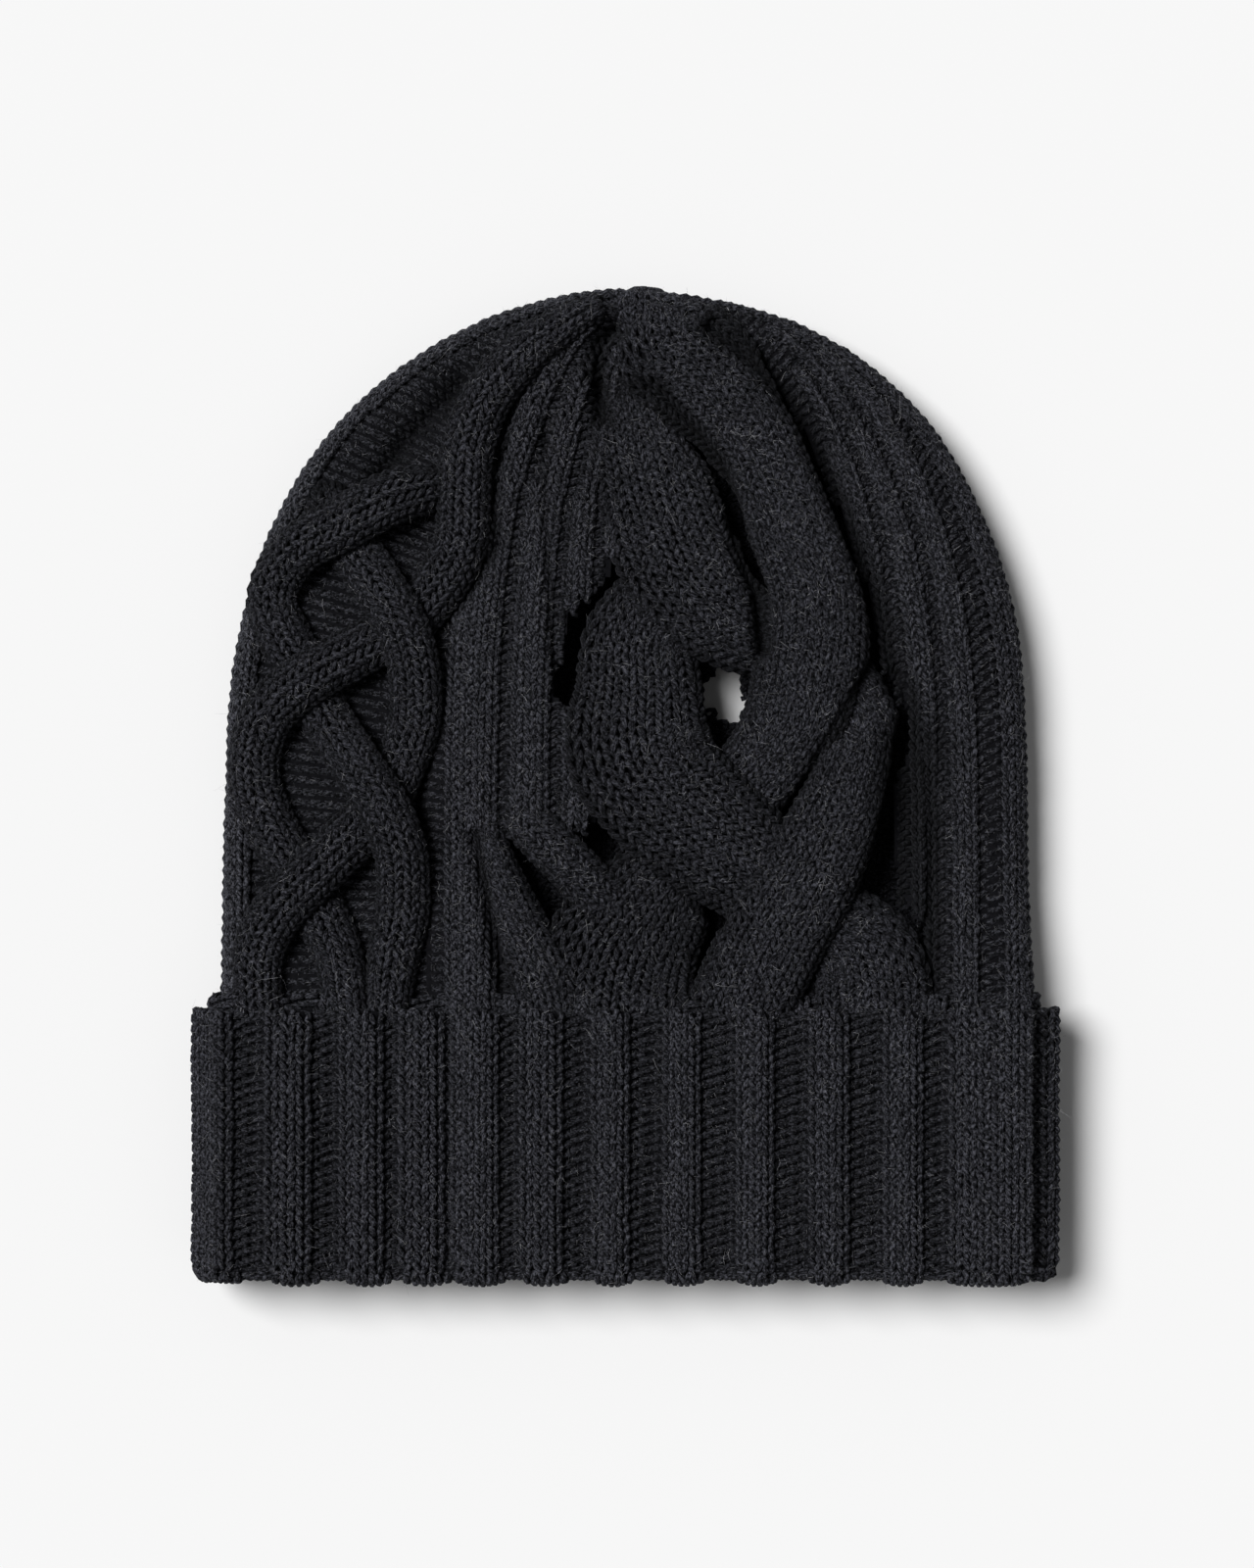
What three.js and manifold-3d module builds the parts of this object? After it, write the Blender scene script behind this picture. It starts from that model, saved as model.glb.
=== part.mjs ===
// Knit beanie lying flat on its back: crown towards +Y, mouth towards -Y, front face up (+Z).
// The ribbed cuff is turned up over the inner band and unfolds about the mouth edge.
// Millimetres. The origin is on the table, under the middle of the hat's bounding box.
import * as THREE from "three";
import { mergeVertices } from "three/addons/utils/BufferGeometryUtils.js";
import Module from "manifold-3d";

// Driving dimensions.
const CROWN_Y = 126.9; // top of the crown
const MOUTH_Y = -126.9; // mouth edge, at the cuff's fold
const CUFF_HEIGHT = 69.9; // depth of the turned-up cuff
const CUFF_HALF_WIDTH = 111.4; // flat half width of the cuff
const BODY_HALF_WIDTH = 104; // flat half width of the hat above the cuff
const BODY_TAPER = 0.018; // lost half width per millimetre towards the crown
const KNIT = 4.4; // thickness of the knitted fabric
const CUFF_KNIT = 4.6; // thickness of the cuff's rib
const GROUND_DROP = 2.4; // how far the purl ground lies below the knit face
const STRAND = 3.7; // thickness of a plait strand
const BAND = 4.2; // thickness of a braid band
const HOLLOW_HALF = 3.7; // half of the head space left between the flat band's layers
const BODY_HALF = 9.4; // half height of the hat above the cuff
const GAP = 0.3; // clearance between neighbouring pieces

// Worked out from them.
const BAND_HALF = HOLLOW_HALF + KNIT; // half height of the inner band
const CUFF_INNER = BAND_HALF + GAP;
const CUFF_HALF = CUFF_INNER + CUFF_KNIT;
const CUFF_MID = CUFF_INNER + CUFF_KNIT / 2; // the cuff layer's middle, from the hat's middle plane
const BAND_MID = HOLLOW_HALF + KNIT / 2;
const CUFF_TOP_Y = MOUTH_Y + CUFF_HEIGHT; // the cuff's free edge
const FOLD_RADIUS = CUFF_KNIT / 2 + 0.1;
const FOLD_Y = MOUTH_Y + FOLD_RADIUS; // the line the cuff turns about
const CUFF_START_Y = FOLD_Y + FOLD_RADIUS + 0.6; // where cuff and band leave the fold
const BODY_START_Y = CUFF_TOP_Y + 0.6; // where the panels of the hat start
const PANEL_TOP_Y = 125.6; // where the panels end beside the crown gather
const LOW_EDGE = 1.2; // least thickness of a panel at the silhouette
const OPENING = new THREE.Vector2(26.2, 22.2); // middle of the eyelet through front and back

const wool = (name, colour, roughness = 0.95) =>
  Object.assign(new THREE.MeshStandardMaterial({ color: colour, roughness, metalness: 0 }), { name });
const RIB_WOOL = wool("rib_wool", 0x24252b);
const PLAIN_WOOL = wool("plain_wool", 0x26272d);
const CABLE_WOOL = wool("cable_wool", 0x2a2b31);
const GROUND_WOOL = wool("ground_wool", 0x1d1e23);

const wasm = await Module();
wasm.setup();
const hat = new THREE.Group();

// --- geometry helpers ---------------------------------------------------------------------

const smooth = (t) => THREE.MathUtils.smoothstep(t, 0, 1);
const lerp = THREE.MathUtils.lerp;

function addMesh(name, geometry, material) {
  geometry.computeVertexNormals();
  const mesh = new THREE.Mesh(geometry, material);
  mesh.name = name;
  hat.add(mesh);
  return mesh;
}

function indexed(points, faces) {
  const geometry = new THREE.BufferGeometry();
  geometry.setAttribute("position", new THREE.Float32BufferAttribute(points.flat(), 3));
  geometry.setIndex(faces.flat());
  return geometry;
}

function solid(geometry) {
  const bare = new THREE.BufferGeometry().setAttribute("position", geometry.getAttribute("position"));
  if (geometry.index) bare.setIndex(geometry.index);
  const merged = mergeVertices(bare, 1e-4);
  return new wasm.Manifold(
    new wasm.Mesh({
      numProp: 3,
      vertProperties: new Float32Array(merged.attributes.position.array),
      triVerts: new Uint32Array(merged.index.array),
    }),
  );
}

function cut(geometry, ...tools) {
  const mesh = tools.reduce((left, tool) => left.subtract(solid(tool)), solid(geometry)).getMesh();
  const result = new THREE.BufferGeometry();
  result.setAttribute("position", new THREE.BufferAttribute(mesh.vertProperties, 3));
  return result.setIndex(new THREE.BufferAttribute(mesh.triVerts, 1));
}

// A smooth curve through rows of numbers, each [position, ...values along it].
function curveThrough(rows) {
  const size = rows[0].length;
  const at = (i, k) => rows[THREE.MathUtils.clamp(i, 0, rows.length - 1)][k];
  return (t) => {
    const place = THREE.MathUtils.clamp(t, 0, 1) * (rows.length - 1);
    const i = Math.min(Math.floor(place), rows.length - 2);
    const u = place - i;
    return Array.from({ length: size }, (_, k) => {
      const [a, b, c, d] = [at(i - 1, k), at(i, k), at(i + 1, k), at(i + 2, k)];
      return b + 0.5 * u * (c - a + u * (2 * a - 5 * b + 4 * c - d + u * (3 * (b - c) + d - a)));
    });
  };
}

// An edge of a panel: x as a function of y, straight between the given [y, x] pairs.
function edge(pairs) {
  return (y) => {
    const next = pairs.findIndex(([level]) => level >= y);
    if (next <= 0) return next === 0 ? pairs[0][1] : pairs.at(-1)[1];
    const [[y0, x0], [y1, x1]] = [pairs[next - 1], pairs[next]];
    return lerp(x0, x1, (y - y0) / (y1 - y0));
  };
}

// Closed solid over the plan region between two edges, from under(x, y) to top(x, y).
function panelGeometry({ left, right, from, to, top, under, across, along, spread, rise }) {
  const points = [];
  const faces = [];
  const row = across + 1;
  const level = row * (along + 1);
  for (const height of [under, top])
    for (let j = 0; j <= along; j++)
      for (let i = 0; i <= across; i++) {
        const y = lerp(from, to, rise(j / along));
        const x = lerp(left(y), right(y), spread(i / across));
        points.push([x, y, height(x, y)]);
      }
  const quad = (a, b, c, d) => faces.push([a, b, c], [a, c, d]);
  for (let j = 0; j < along; j++)
    for (let i = 0; i < across; i++) {
      const a = j * row + i;
      quad(a, a + row, a + row + 1, a + 1);
      quad(level + a, level + a + 1, level + a + row + 1, level + a + row);
    }
  for (let i = 0; i < across; i++) {
    const end = along * row + i;
    quad(i, i + 1, level + i + 1, level + i);
    quad(end + 1, end, level + end, level + end + 1);
  }
  for (let j = 0; j < along; j++) {
    const a = j * row;
    const b = a + across;
    quad(a + row, a, level + a, level + a + row);
    quad(b, b + row, level + b + row, level + b);
  }
  return indexed(points, faces);
}

// Closed solid through rings of points that all have the same count, capped at both ends.
function loftGeometry(rings) {
  const count = rings[0].length;
  const middle = (ring) => ring[0].map((_, k) => ring.reduce((sum, p) => sum + p[k], 0) / count);
  const points = [...rings.flat(), middle(rings[0]), middle(rings.at(-1))];
  const first = rings.length * count;
  const last = (rings.length - 1) * count;
  const faces = [];
  for (let k = 0; k < count; k++) {
    const next = (k + 1) % count;
    for (let r = 0; r < last; r += count) {
      faces.push([r + k, r + next, r + count + next], [r + k, r + count + next, r + count + k]);
    }
    faces.push([next, k, first], [first + 1, last + k, last + next]);
  }
  return indexed(points, faces);
}

// --- the flat-laid shape ------------------------------------------------------------------

// The hat's middle plane settles from the cuff's stack of layers down to the table.
const settle = (y) => smooth((y - CUFF_TOP_Y) / 32);
const middleZ = (y) => lerp(CUFF_HALF, BODY_HALF, settle(y));
const halfHeight = (y) => lerp(BAND_HALF, BODY_HALF, settle(y));
const centreX = (y) => 0.6 + 4.2 * Math.pow(Math.max(y, 0) / CROWN_Y, 3);
const straightHalf = (y) => BODY_HALF_WIDTH - BODY_TAPER * (y - CUFF_TOP_Y);
const crownShare = (y) => Math.pow(Math.max(y, 0) / CROWN_Y, 2.6);
const outlineHalf = (y) => straightHalf(y) * Math.sqrt(Math.max(1 - crownShare(y), 0));

// Distance inside the silhouette, measured in the flat half width.
function inset(x, y) {
  const share = (x - centreX(y)) / straightHalf(y);
  return (1 - Math.sqrt(share * share + crownShare(y))) * BODY_HALF_WIDTH;
}

// Height of a soft folded edge that reaches its full height one half height inside.
const rounded = (depth, half) =>
  depth >= half ? half : Math.sqrt(Math.max(half * half - (half - depth) ** 2, 0));

const outerHeight = (x, y) => Math.max(rounded(inset(x, y), halfHeight(y)), LOW_EDGE);
const innerHeight = (x, y) =>
  Math.max(rounded(inset(x, y) - KNIT, halfHeight(y) - KNIT), GAP / 2);
const frontTop = (x, y) => middleZ(y) + outerHeight(x, y);
const frontUnder = (x, y) => middleZ(y) + innerHeight(x, y);
const backTop = (x, y) => middleZ(y) - innerHeight(x, y);
const backUnder = (x, y) => middleZ(y) - outerHeight(x, y);
const groundTop = (x, y) => Math.max(frontTop(x, y) - GROUND_DROP, frontUnder(x, y) + 1);

// --- front and back panels ----------------------------------------------------------------

const silhouetteLeft = (y) => centreX(y) - outlineHalf(y) + 0.2;
const silhouetteRight = (y) => centreX(y) + outlineHalf(y) - 0.2;
const shifted = (line, by) => (y) => line(y) + by;
const evenly = (t) => t;
const denseStart = (t) => 1 - Math.cos((Math.PI / 2) * t);
const denseEnd = (t) => Math.sin((Math.PI / 2) * t);
const denseBoth = (t) => (1 - Math.cos(Math.PI * t)) / 2;
const denseTop = (t) => lerp(t, denseEnd(t), 0.75);

const groundEdge = edge([
  [-57, -50.5], [-25, -50.5], [-8, -52], [25, -47.5], [38, -47], [50, -40], [62, -34.5],
  [80, -33], [93, -31], [107, -22], [118, -10], [126, -3.5],
]);
const ribEdge = edge([
  [-57, -30], [-33, -34], [-16, -38], [-10, -17], [10, -16], [22, -17.5], [48.6, -9.8],
  [60, -8], [75, -8], [95, -6.5], [112, -6], [118, -4], [126, 0],
]);
const rightEdge = edge([
  [-57, 77.5], [-13, 77.5], [5, 77], [20, 73], [32, 67], [47, 64], [60, 60], [75, 54],
  [93, 46], [107, 36], [112, 30], [118, 20], [126, 9],
]);

// The crown gather is an oval bun at the tip; its neighbours keep clear of it.
const bun = (extra) => {
  const geometry = new THREE.SphereGeometry(1, 20, 12);
  const [halfWide, halfTall, halfThick] = [9.5, 6, 7.6].map((size) => size + extra);
  geometry.scale(halfWide, halfTall, halfThick);
  return geometry.translate(centreX(CROWN_Y), CROWN_Y + extra - halfTall, BODY_HALF);
};
const eyelet = () => {
  const oval = new THREE.CylinderGeometry(1, 1, 60, 20).rotateX(Math.PI / 2);
  return oval.scale(6.2, 8, 1).translate(OPENING.x, OPENING.y, 0);
};

// Everything below the panels' start, where the cuff's stack of layers lies.
const cuffStack = () =>
  new THREE.BoxGeometry(2.5 * CUFF_HALF_WIDTH, 20, 80).translate(0, BODY_START_Y - 10, 0);

function addPanel(name, material, options, ...tools) {
  const all = {
    from: BODY_START_Y, to: PANEL_TOP_Y, along: 24, spread: evenly, rise: denseTop, ...options,
  };
  const geometry = cut(panelGeometry(all), ...tools);
  return addMesh(name, geometry, material);
}

addPanel(
  "left_cable_ground", GROUND_WOOL,
  { left: silhouetteLeft, right: shifted(groundEdge, -GAP), top: groundTop, under: frontUnder,
    across: 8, spread: denseStart },
  bun(GAP),
);
addPanel(
  "left_rib_panel", RIB_WOOL,
  { left: shifted(groundEdge, GAP), right: ribEdge, top: frontTop, under: frontUnder,
    across: 4 },
  bun(GAP),
);
addPanel(
  "right_rib_panel", RIB_WOOL,
  { left: rightEdge, right: silhouetteRight, top: frontTop, under: frontUnder,
    across: 8, spread: denseEnd },
  bun(GAP),
);
addPanel(
  "back_panel", RIB_WOOL,
  { left: silhouetteLeft, right: silhouetteRight, top: backTop, under: backUnder,
    across: 16, spread: denseBoth },
  bun(GAP), eyelet(),
);

// --- plait strands and braid bands --------------------------------------------------------

// A flat rope: stations [x, y, width, lift] followed by a smooth curve, lying on rest(x, y).
function addRope(name, material, { stations, thickness, rest, steps, sides }, ...tools) {
  const route = curveThrough(stations);
  const rings = [];
  for (let s = 0; s <= steps; s++) {
    const [x, y, width, lift] = route(s / steps);
    const [ax, ay] = route((s - 0.5) / steps);
    const [bx, by] = route((s + 0.5) / steps);
    const along = new THREE.Vector2(bx - ax, by - ay).normalize();
    rings.push(
      Array.from({ length: sides }, (_, k) => {
        const angle = (2 * Math.PI * (k + 0.5)) / sides;
        const soften = (v) => Math.sign(v) * Math.pow(Math.abs(v), 0.6);
        const out = (soften(Math.cos(angle)) * width) / 2;
        const px = x + along.y * out;
        const py = y - along.x * out;
        const up = (soften(Math.sin(angle)) * thickness) / 2;
        return [px, py, rest(px, py) + lift + up];
      }),
    );
  }
  const geometry = loftGeometry(rings.map((ring) => ring.reverse()));
  return addMesh(name, tools.length ? cut(geometry, ...tools) : geometry, material);
}

// Strands of the left plait: an under pass lies on the ground, an over pass is lifted.
const OVER_STRAND = STRAND + 0.9;
const strandRest = (x, y) => groundTop(x, y) + 2 * GAP + STRAND / 2;
const plaitStrands = {
  plait_strand_outer: [
    [-40, 72, 9, 0], [-41.5, 60, 10, 0], [-48.5, 48.5, 10.5, 0], [-57, 40, 10.5, 0],
    [-68, 33.5, 10.5, 2.6], [-79, 27.5, 10.5, OVER_STRAND], [-89.5, 19, 10.5, 3], [-94, 9, 10.5, 0.2],
    [-94, -1, 10.5, 0.2], [-89.5, -12, 10.5, 0], [-83, -23, 10.5, 0], [-77, -34, 10.5, 0.3],
    [-72.5, -45, 9.5, 0], [-70, -60, 8.5, 0],
  ],
  plait_strand_middle: [
    [-77, 73, 10, 0], [-70, 61, 10.5, 0], [-63, 51, 10.5, 2.8], [-57, 41, 10.5, OVER_STRAND],
    [-53.5, 29, 10.5, 3], [-53.5, 16, 10.5, 0.6], [-57.5, 4, 10.5, 0], [-61, -3, 10.5, 0],
    [-69, -13, 10.5, 1.6], [-80, -24, 10.5, OVER_STRAND], [-89, -34, 10.5, 3],
    [-93.5, -45, 10.5, 0.2], [-93, -60, 10.5, 0.2],
  ],
  plait_strand_inner: [
    [-60, 72, 10, OVER_STRAND], [-72, 65.5, 10.5, OVER_STRAND], [-84, 58.5, 10.5, 3],
    [-90, 48, 10.5, 0.2], [-87, 38, 10.5, 0], [-81, 28, 10.5, 0], [-76, 17, 10.5, 0.8],
    [-68, 5, 10.5, OVER_STRAND], [-60.5, -7, 10.5, OVER_STRAND], [-56.5, -19, 10.5, 3],
    [-56.5, -33, 10.5, 0.4], [-59, -45, 10, 0], [-60.5, -60, 8.5, 0],
  ],
};
for (const [name, stations] of Object.entries(plaitStrands))
  addRope(name, CABLE_WOOL, {
    stations, thickness: STRAND, rest: strandRest, steps: 30, sides: 8,
  }, cuffStack());

// Bands of the centre plait: UNDER passes dip into the head space, OVER passes stand proud.
const UNDER = -0.7;
const OVER = UNDER + BAND + 0.4;
const bandRest = (x, y) => frontTop(x, y) - KNIT / 2;
const braidBands = {
  braid_band_outer: [
    [3.2, 118, 5, -0.4], [2.2, 109, 8, 0.2], [2.2, 99, 13, 0.4], [5, 87.5, 22, 1], [9, 75, 26, 2],
    [14, 61, 27, OVER], [20, 49, 25, OVER], [28, 37, 21, 1.6], [38, 29.5, 20, UNDER],
    [48, 26.5, 19, UNDER], [57, 21.5, 18, UNDER], [61.3, 11, 19, 1], [58, 0.5, 20, OVER],
    [52, -12, 21, OVER], [45, -26, 21, OVER], [36.5, -41, 21, OVER], [30, -60, 21, 2],
  ],
  braid_band_right: [
    [11.5, 117.5, 7, -0.4], [18.5, 109, 13, 0.2], [27, 99.5, 18.5, 0.4], [33.5, 87.5, 20, 0.6],
    [39.5, 75, 21, 1.2],
    [45.5, 60, 22, 2.6], [49, 45, 22, OVER], [47.5, 29, 22, OVER], [42, 15, 18, OVER],
    [34, 4.5, 17, 1], [24.5, -7, 18, UNDER], [15, -19, 19, UNDER], [6, -32, 22, UNDER],
    [0, -45, 25, 0], [-3, -60, 26, 0],
  ],
  braid_band_left: [
    [14, 52, 18, UNDER], [7, 44, 20, UNDER], [1.5, 35, 22, 0.2], [0, 23, 24, 1.4],
    [1.5, 10, 25, OVER], [8, -3, 25, OVER], [19, -13.5, 23, OVER], [28.5, -20.5, 18, 2.8],
    [37, -26, 16, UNDER], [51, -35, 17, UNDER], [61, -45, 22, 0], [63, -60, 25, 0],
  ],
};
for (const [name, stations] of Object.entries(braidBands))
  addRope(name, PLAIN_WOOL, {
    stations, thickness: BAND, rest: bandRest, steps: 44, sides: 8,
  }, bun(GAP), cuffStack());

addRope("side_strip", PLAIN_WOOL, {
  stations: [[-29, -19.5, 8, 0], [-28, -30, 10, 0], [-24.5, -43, 12, 0], [-23, -60, 12, 0]],
  thickness: BAND, rest: bandRest, steps: 10, sides: 8,
}, cuffStack());
addRope("narrow_strand", CABLE_WOOL, {
  stations: [[-22, -13, 7.5, 1.5], [-17.5, -18, 9, 1.8], [-13, -23, 9, 1], [-9, -28, 8, 0.4]],
  thickness: BAND, rest: bandRest, steps: 8, sides: 8,
});

// --- crown --------------------------------------------------------------------------------

addMesh("crown_gather", bun(0), PLAIN_WOOL);
const GATHER_Y = 109.5;
const GATHER_RADIUS = 3.2;
const GATHER_YARN = 0.9; // radius of the drawn-up yarn
const gatherRing = new THREE.TorusGeometry(GATHER_RADIUS, GATHER_YARN, 8, 20).rotateX(Math.PI / 2);
addMesh("gather_yarn", gatherRing.translate(centreX(CROWN_Y), GATHER_Y, BODY_HALF), CABLE_WOOL);

// --- inner band and back seam -------------------------------------------------------------

const BAND_HALF_WIDTH = CUFF_HALF_WIDTH - CUFF_KNIT - GAP - 2.5;
const bandDepth = (x) => BAND_HALF_WIDTH - Math.abs(x);
const bandOuter = (x) => Math.max(rounded(bandDepth(x), BAND_HALF), LOW_EDGE);
const bandInner = (x) => Math.max(rounded(bandDepth(x) - KNIT, HOLLOW_HALF), GAP / 2);
const bandEnd = (side) => () => side * (BAND_HALF_WIDTH - 0.2);
const bandSpan = { left: bandEnd(-1), right: bandEnd(1), from: CUFF_START_Y, to: CUFF_TOP_Y };
const bandGrid = { across: 14, along: 1, spread: denseBoth };
addPanel("inner_band_front", RIB_WOOL, {
  ...bandSpan, ...bandGrid,
  top: (x) => CUFF_HALF + bandOuter(x), under: (x) => CUFF_HALF + bandInner(x),
});
addPanel("inner_band_back", RIB_WOOL, {
  ...bandSpan, ...bandGrid,
  top: (x) => CUFF_HALF - bandInner(x), under: (x) => CUFF_HALF - bandOuter(x),
});

const SEAM_HALF_WIDTH = 1.6;
const SEAM_HIGH = 1.4;
const SEAM_TOP_Y = 104;
const seamBase = (x, y) => (y < BODY_START_Y ? CUFF_HALF - HOLLOW_HALF : backTop(x, y)) + GAP;
addPanel("back_seam", CABLE_WOOL, {
  left: () => -SEAM_HALF_WIDTH, right: () => SEAM_HALF_WIDTH, from: CUFF_START_Y, to: SEAM_TOP_Y,
  across: 1, along: 40, under: seamBase, top: (x, y) => seamBase(x, y) + SEAM_HIGH,
});

// --- cuff: flat facets round the ring, each turning about the fold on its own tangent ------

const CORNER_X = CUFF_HALF_WIDTH - CUFF_KNIT / 2 - CUFF_MID; // centre of the ring's round side
const FACET_TURN = Math.PI / 4;
const facetReach = CUFF_MID * Math.tan(FACET_TURN / 2) - GAP / 2; // half length of a side facet
const facetInset = (CUFF_KNIT / 2) * Math.tan(FACET_TURN / 2);
const RIB_PITCH = 18.2; // one knit rib and one purl valley
const RIB_RELIEF = 0.6; // depth of a valley on each face

// Half profile of a facet, from its left end to its right end: [along the ring, half thickness].
function facetProfile(reach, ribbed) {
  const half = CUFF_KNIT / 2;
  const profile = [[-reach, 0], [-reach + facetInset, half]];
  const valleys = ribbed ? Math.floor((2 * reach - RIB_PITCH) / RIB_PITCH) : 0;
  for (let n = 0; n < valleys; n++) {
    const middle = (n - (valleys - 1) / 2) * RIB_PITCH;
    const depth = half - RIB_RELIEF;
    profile.push([middle - 4.6, half], [middle - 3, depth], [middle + 3, depth], [middle + 4.6, half]);
  }
  profile.push([reach - facetInset, half], [reach, 0]);
  return profile;
}

// A facet of the ring: its middle at (x, z), facing along the angle from +Z towards +X.
function addFacet(name, { x, z, facing, reach, ribbed = false }) {
  const upper = facetProfile(reach, ribbed);
  const lower = upper.slice(1, -1).reverse().map(([u, h]) => [u, -h]);
  const outline = [...upper, ...lower].map(([u, h]) => new THREE.Vector2(u, h)).reverse();
  const geometry = new THREE.ExtrudeGeometry(new THREE.Shape(outline), {
    depth: CUFF_TOP_Y - CUFF_START_Y, bevelEnabled: false, steps: 1,
  });
  geometry.rotateX(Math.PI / 2); // the outline now stands in XZ and runs towards -Y
  geometry.rotateY(facing);
  geometry.translate(x, CUFF_TOP_Y, z);
  return addMesh(name, geometry, RIB_WOOL);
}

const frontReach = CORNER_X + facetReach;
addFacet("cuff_front", {
  x: 0, z: CUFF_HALF + CUFF_MID, facing: 0, reach: frontReach, ribbed: true,
});
addFacet("cuff_back", {
  x: 0, z: CUFF_HALF - CUFF_MID, facing: Math.PI, reach: frontReach, ribbed: true,
});
const sideNames = ["upper", "side", "lower"];
for (const [hand, sign] of [["left", -1], ["right", 1]])
  sideNames.forEach((name, k) => {
    const facing = sign * (k + 1) * FACET_TURN;
    addFacet(`cuff_${hand}_${name}`, {
      x: sign * CORNER_X + Math.sin(facing) * CUFF_MID,
      z: CUFF_HALF + Math.cos(facing) * CUFF_MID,
      facing, reach: facetReach,
    });
  });

// --- the fold at the mouth, where the inner band turns up into the cuff --------------------

// Section of the fold at a point of the ring: a round-ended bar from the band to the cuff.
function foldSection(x, z, facing) {
  const steps = 5;
  const section = [];
  for (let k = 0; k <= steps; k++) section.push([CUFF_MID, (k / steps) * Math.PI]);
  for (let k = 0; k <= steps; k++) section.push([BAND_MID, (1 + k / steps) * Math.PI]);
  return section.map(([centre, turn]) => {
    const out = centre + FOLD_RADIUS * Math.sin(turn);
    return [
      x + Math.sin(facing) * out, FOLD_Y + FOLD_RADIUS * Math.cos(turn), z + Math.cos(facing) * out,
    ];
  });
}

const STRAIGHT = CORNER_X - GAP; // the fold's straight stretch ends here
for (const [name, facing] of [["fold_front", 0], ["fold_back", Math.PI]]) {
  const ends = [-STRAIGHT, STRAIGHT].map((x) => foldSection(x, CUFF_HALF, facing));
  addMesh(name, loftGeometry(facing ? ends.reverse() : ends), RIB_WOOL);
}
for (const [name, sign] of [["fold_left", -1], ["fold_right", 1]]) {
  const turns = 8;
  const rings = [];
  for (let k = 0; k <= turns; k++)
    rings.push(foldSection(sign * CORNER_X, CUFF_HALF, (sign * k * Math.PI) / turns));
  addMesh(name, loftGeometry(sign < 0 ? rings.reverse() : rings), RIB_WOOL);
}

export default hat;
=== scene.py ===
# Knit beanie laid flat: every stitch is a loop of yarn on a surface worked out from the hat's shape.
import math

import bpy
import numpy as np
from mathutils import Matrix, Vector


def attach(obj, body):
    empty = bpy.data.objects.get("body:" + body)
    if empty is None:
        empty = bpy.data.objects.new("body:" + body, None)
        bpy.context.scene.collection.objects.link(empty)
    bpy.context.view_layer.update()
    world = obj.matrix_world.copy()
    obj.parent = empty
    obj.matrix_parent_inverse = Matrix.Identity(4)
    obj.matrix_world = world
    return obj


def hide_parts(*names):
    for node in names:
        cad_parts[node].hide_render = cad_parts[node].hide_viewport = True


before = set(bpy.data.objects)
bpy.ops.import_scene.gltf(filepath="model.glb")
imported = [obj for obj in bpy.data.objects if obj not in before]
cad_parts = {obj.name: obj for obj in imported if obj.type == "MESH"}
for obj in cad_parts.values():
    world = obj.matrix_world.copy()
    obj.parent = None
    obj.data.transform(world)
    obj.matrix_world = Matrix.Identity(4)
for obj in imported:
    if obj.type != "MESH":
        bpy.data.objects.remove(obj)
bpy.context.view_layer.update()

rng = np.random.default_rng(11)
MM = 0.001  # every length below is in millimetres until a mesh is made

# --- the hat's shape, as in the part ---

CROWN_Y = 126.9
CUFF_TOP_Y = -57.0
FOLD_Y = -124.5
CUFF_HALF = 13.0  # height of the hat's middle plane at the cuff
BAND_HALF = 8.1  # half height of the hat at the inner band
BODY_HALF = 9.4  # and above the cuff
SETTLE = 32.0  # length in which it changes from one to the other
HOLLOW_HALF = 3.7  # half height of the head space at the cuff
BODY_HALF_WIDTH = 104.0
BODY_TAPER = 0.018
CROWN_POWER = 2.6  # how square the crown's curve is
GROUND_DROP = 2.4  # the purl ground lies this much lower than the rib
KNIT = 4.4  # thickness of the fabric
LEAST_RISE = 0.15
PANEL_START_Y = CUFF_TOP_Y - 3  # the panels begin behind the cuff
CORNER_X = 98.4  # centre of the ring's round side
CUFF_MID = 10.7  # the cuff's middle layer, from the hat's middle plane
BAND_MID = 5.9  # the inner band's
OPENING = (26.2, 22.2)  # the hole in the back
OPENING_HALF = (6.2, 8.0)

# The yarn and the gauge.
WALE = 3.4
ROW = 2.6
YARN = 0.82  # radius
LOOP_TALL = 0.84  # half height of a loop, in rows
PURL_TALL = 0.5  # a purl's bars lie closer together
LOOP_BULGE = 1.66  # how far a loop's legs lean, so that each pair makes a V
LOOP_DEEP = 0.82  # how far a loop's yarn goes in and out of the fabric
STEPS = 12  # segments in one stitch
SIDES = 6  # of a tube of yarn
GRID = 0.8  # spacing of the points across a band or the cuff
SKIN = 1.7  # from the fabric's outside to its middle
PINCHED, SPREAD = 0.74, 1.02  # the yarn's thickness where it passes behind and where it shows
SIZE_SLACK, BULGE_SLACK, PLACE_SLACK, DEPTH_SLACK = 0.06, 0.1, 0.05, 0.08  # how uneven the stitches are
FIBRES_PER_STITCH = 2.6
MOST_FIBRES = 7400
DARKEST = 0.12  # painted shade: the share of the yarn's colour left on the deepest yarn
SHADE_DEPTH = 2.0  # the depth in which the painted shade falls to about a third
END_SHADE = 0.4  # and the painted shade on the cut ends


def smooth(t):
    t = np.clip(t, 0, 1)
    return t * t * (3 - 2 * t)


def lerp(a, b, t):
    return a + (b - a) * t


def settle(y):
    return smooth((y - CUFF_TOP_Y) / SETTLE)


def middle_z(y):
    return lerp(CUFF_HALF, BODY_HALF, settle(y))


def half_height(y):
    return lerp(BAND_HALF, BODY_HALF, settle(y))


def centre_x(y):
    return 0.6 + 4.2 * (np.maximum(y, 0) / CROWN_Y) ** 3


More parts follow.
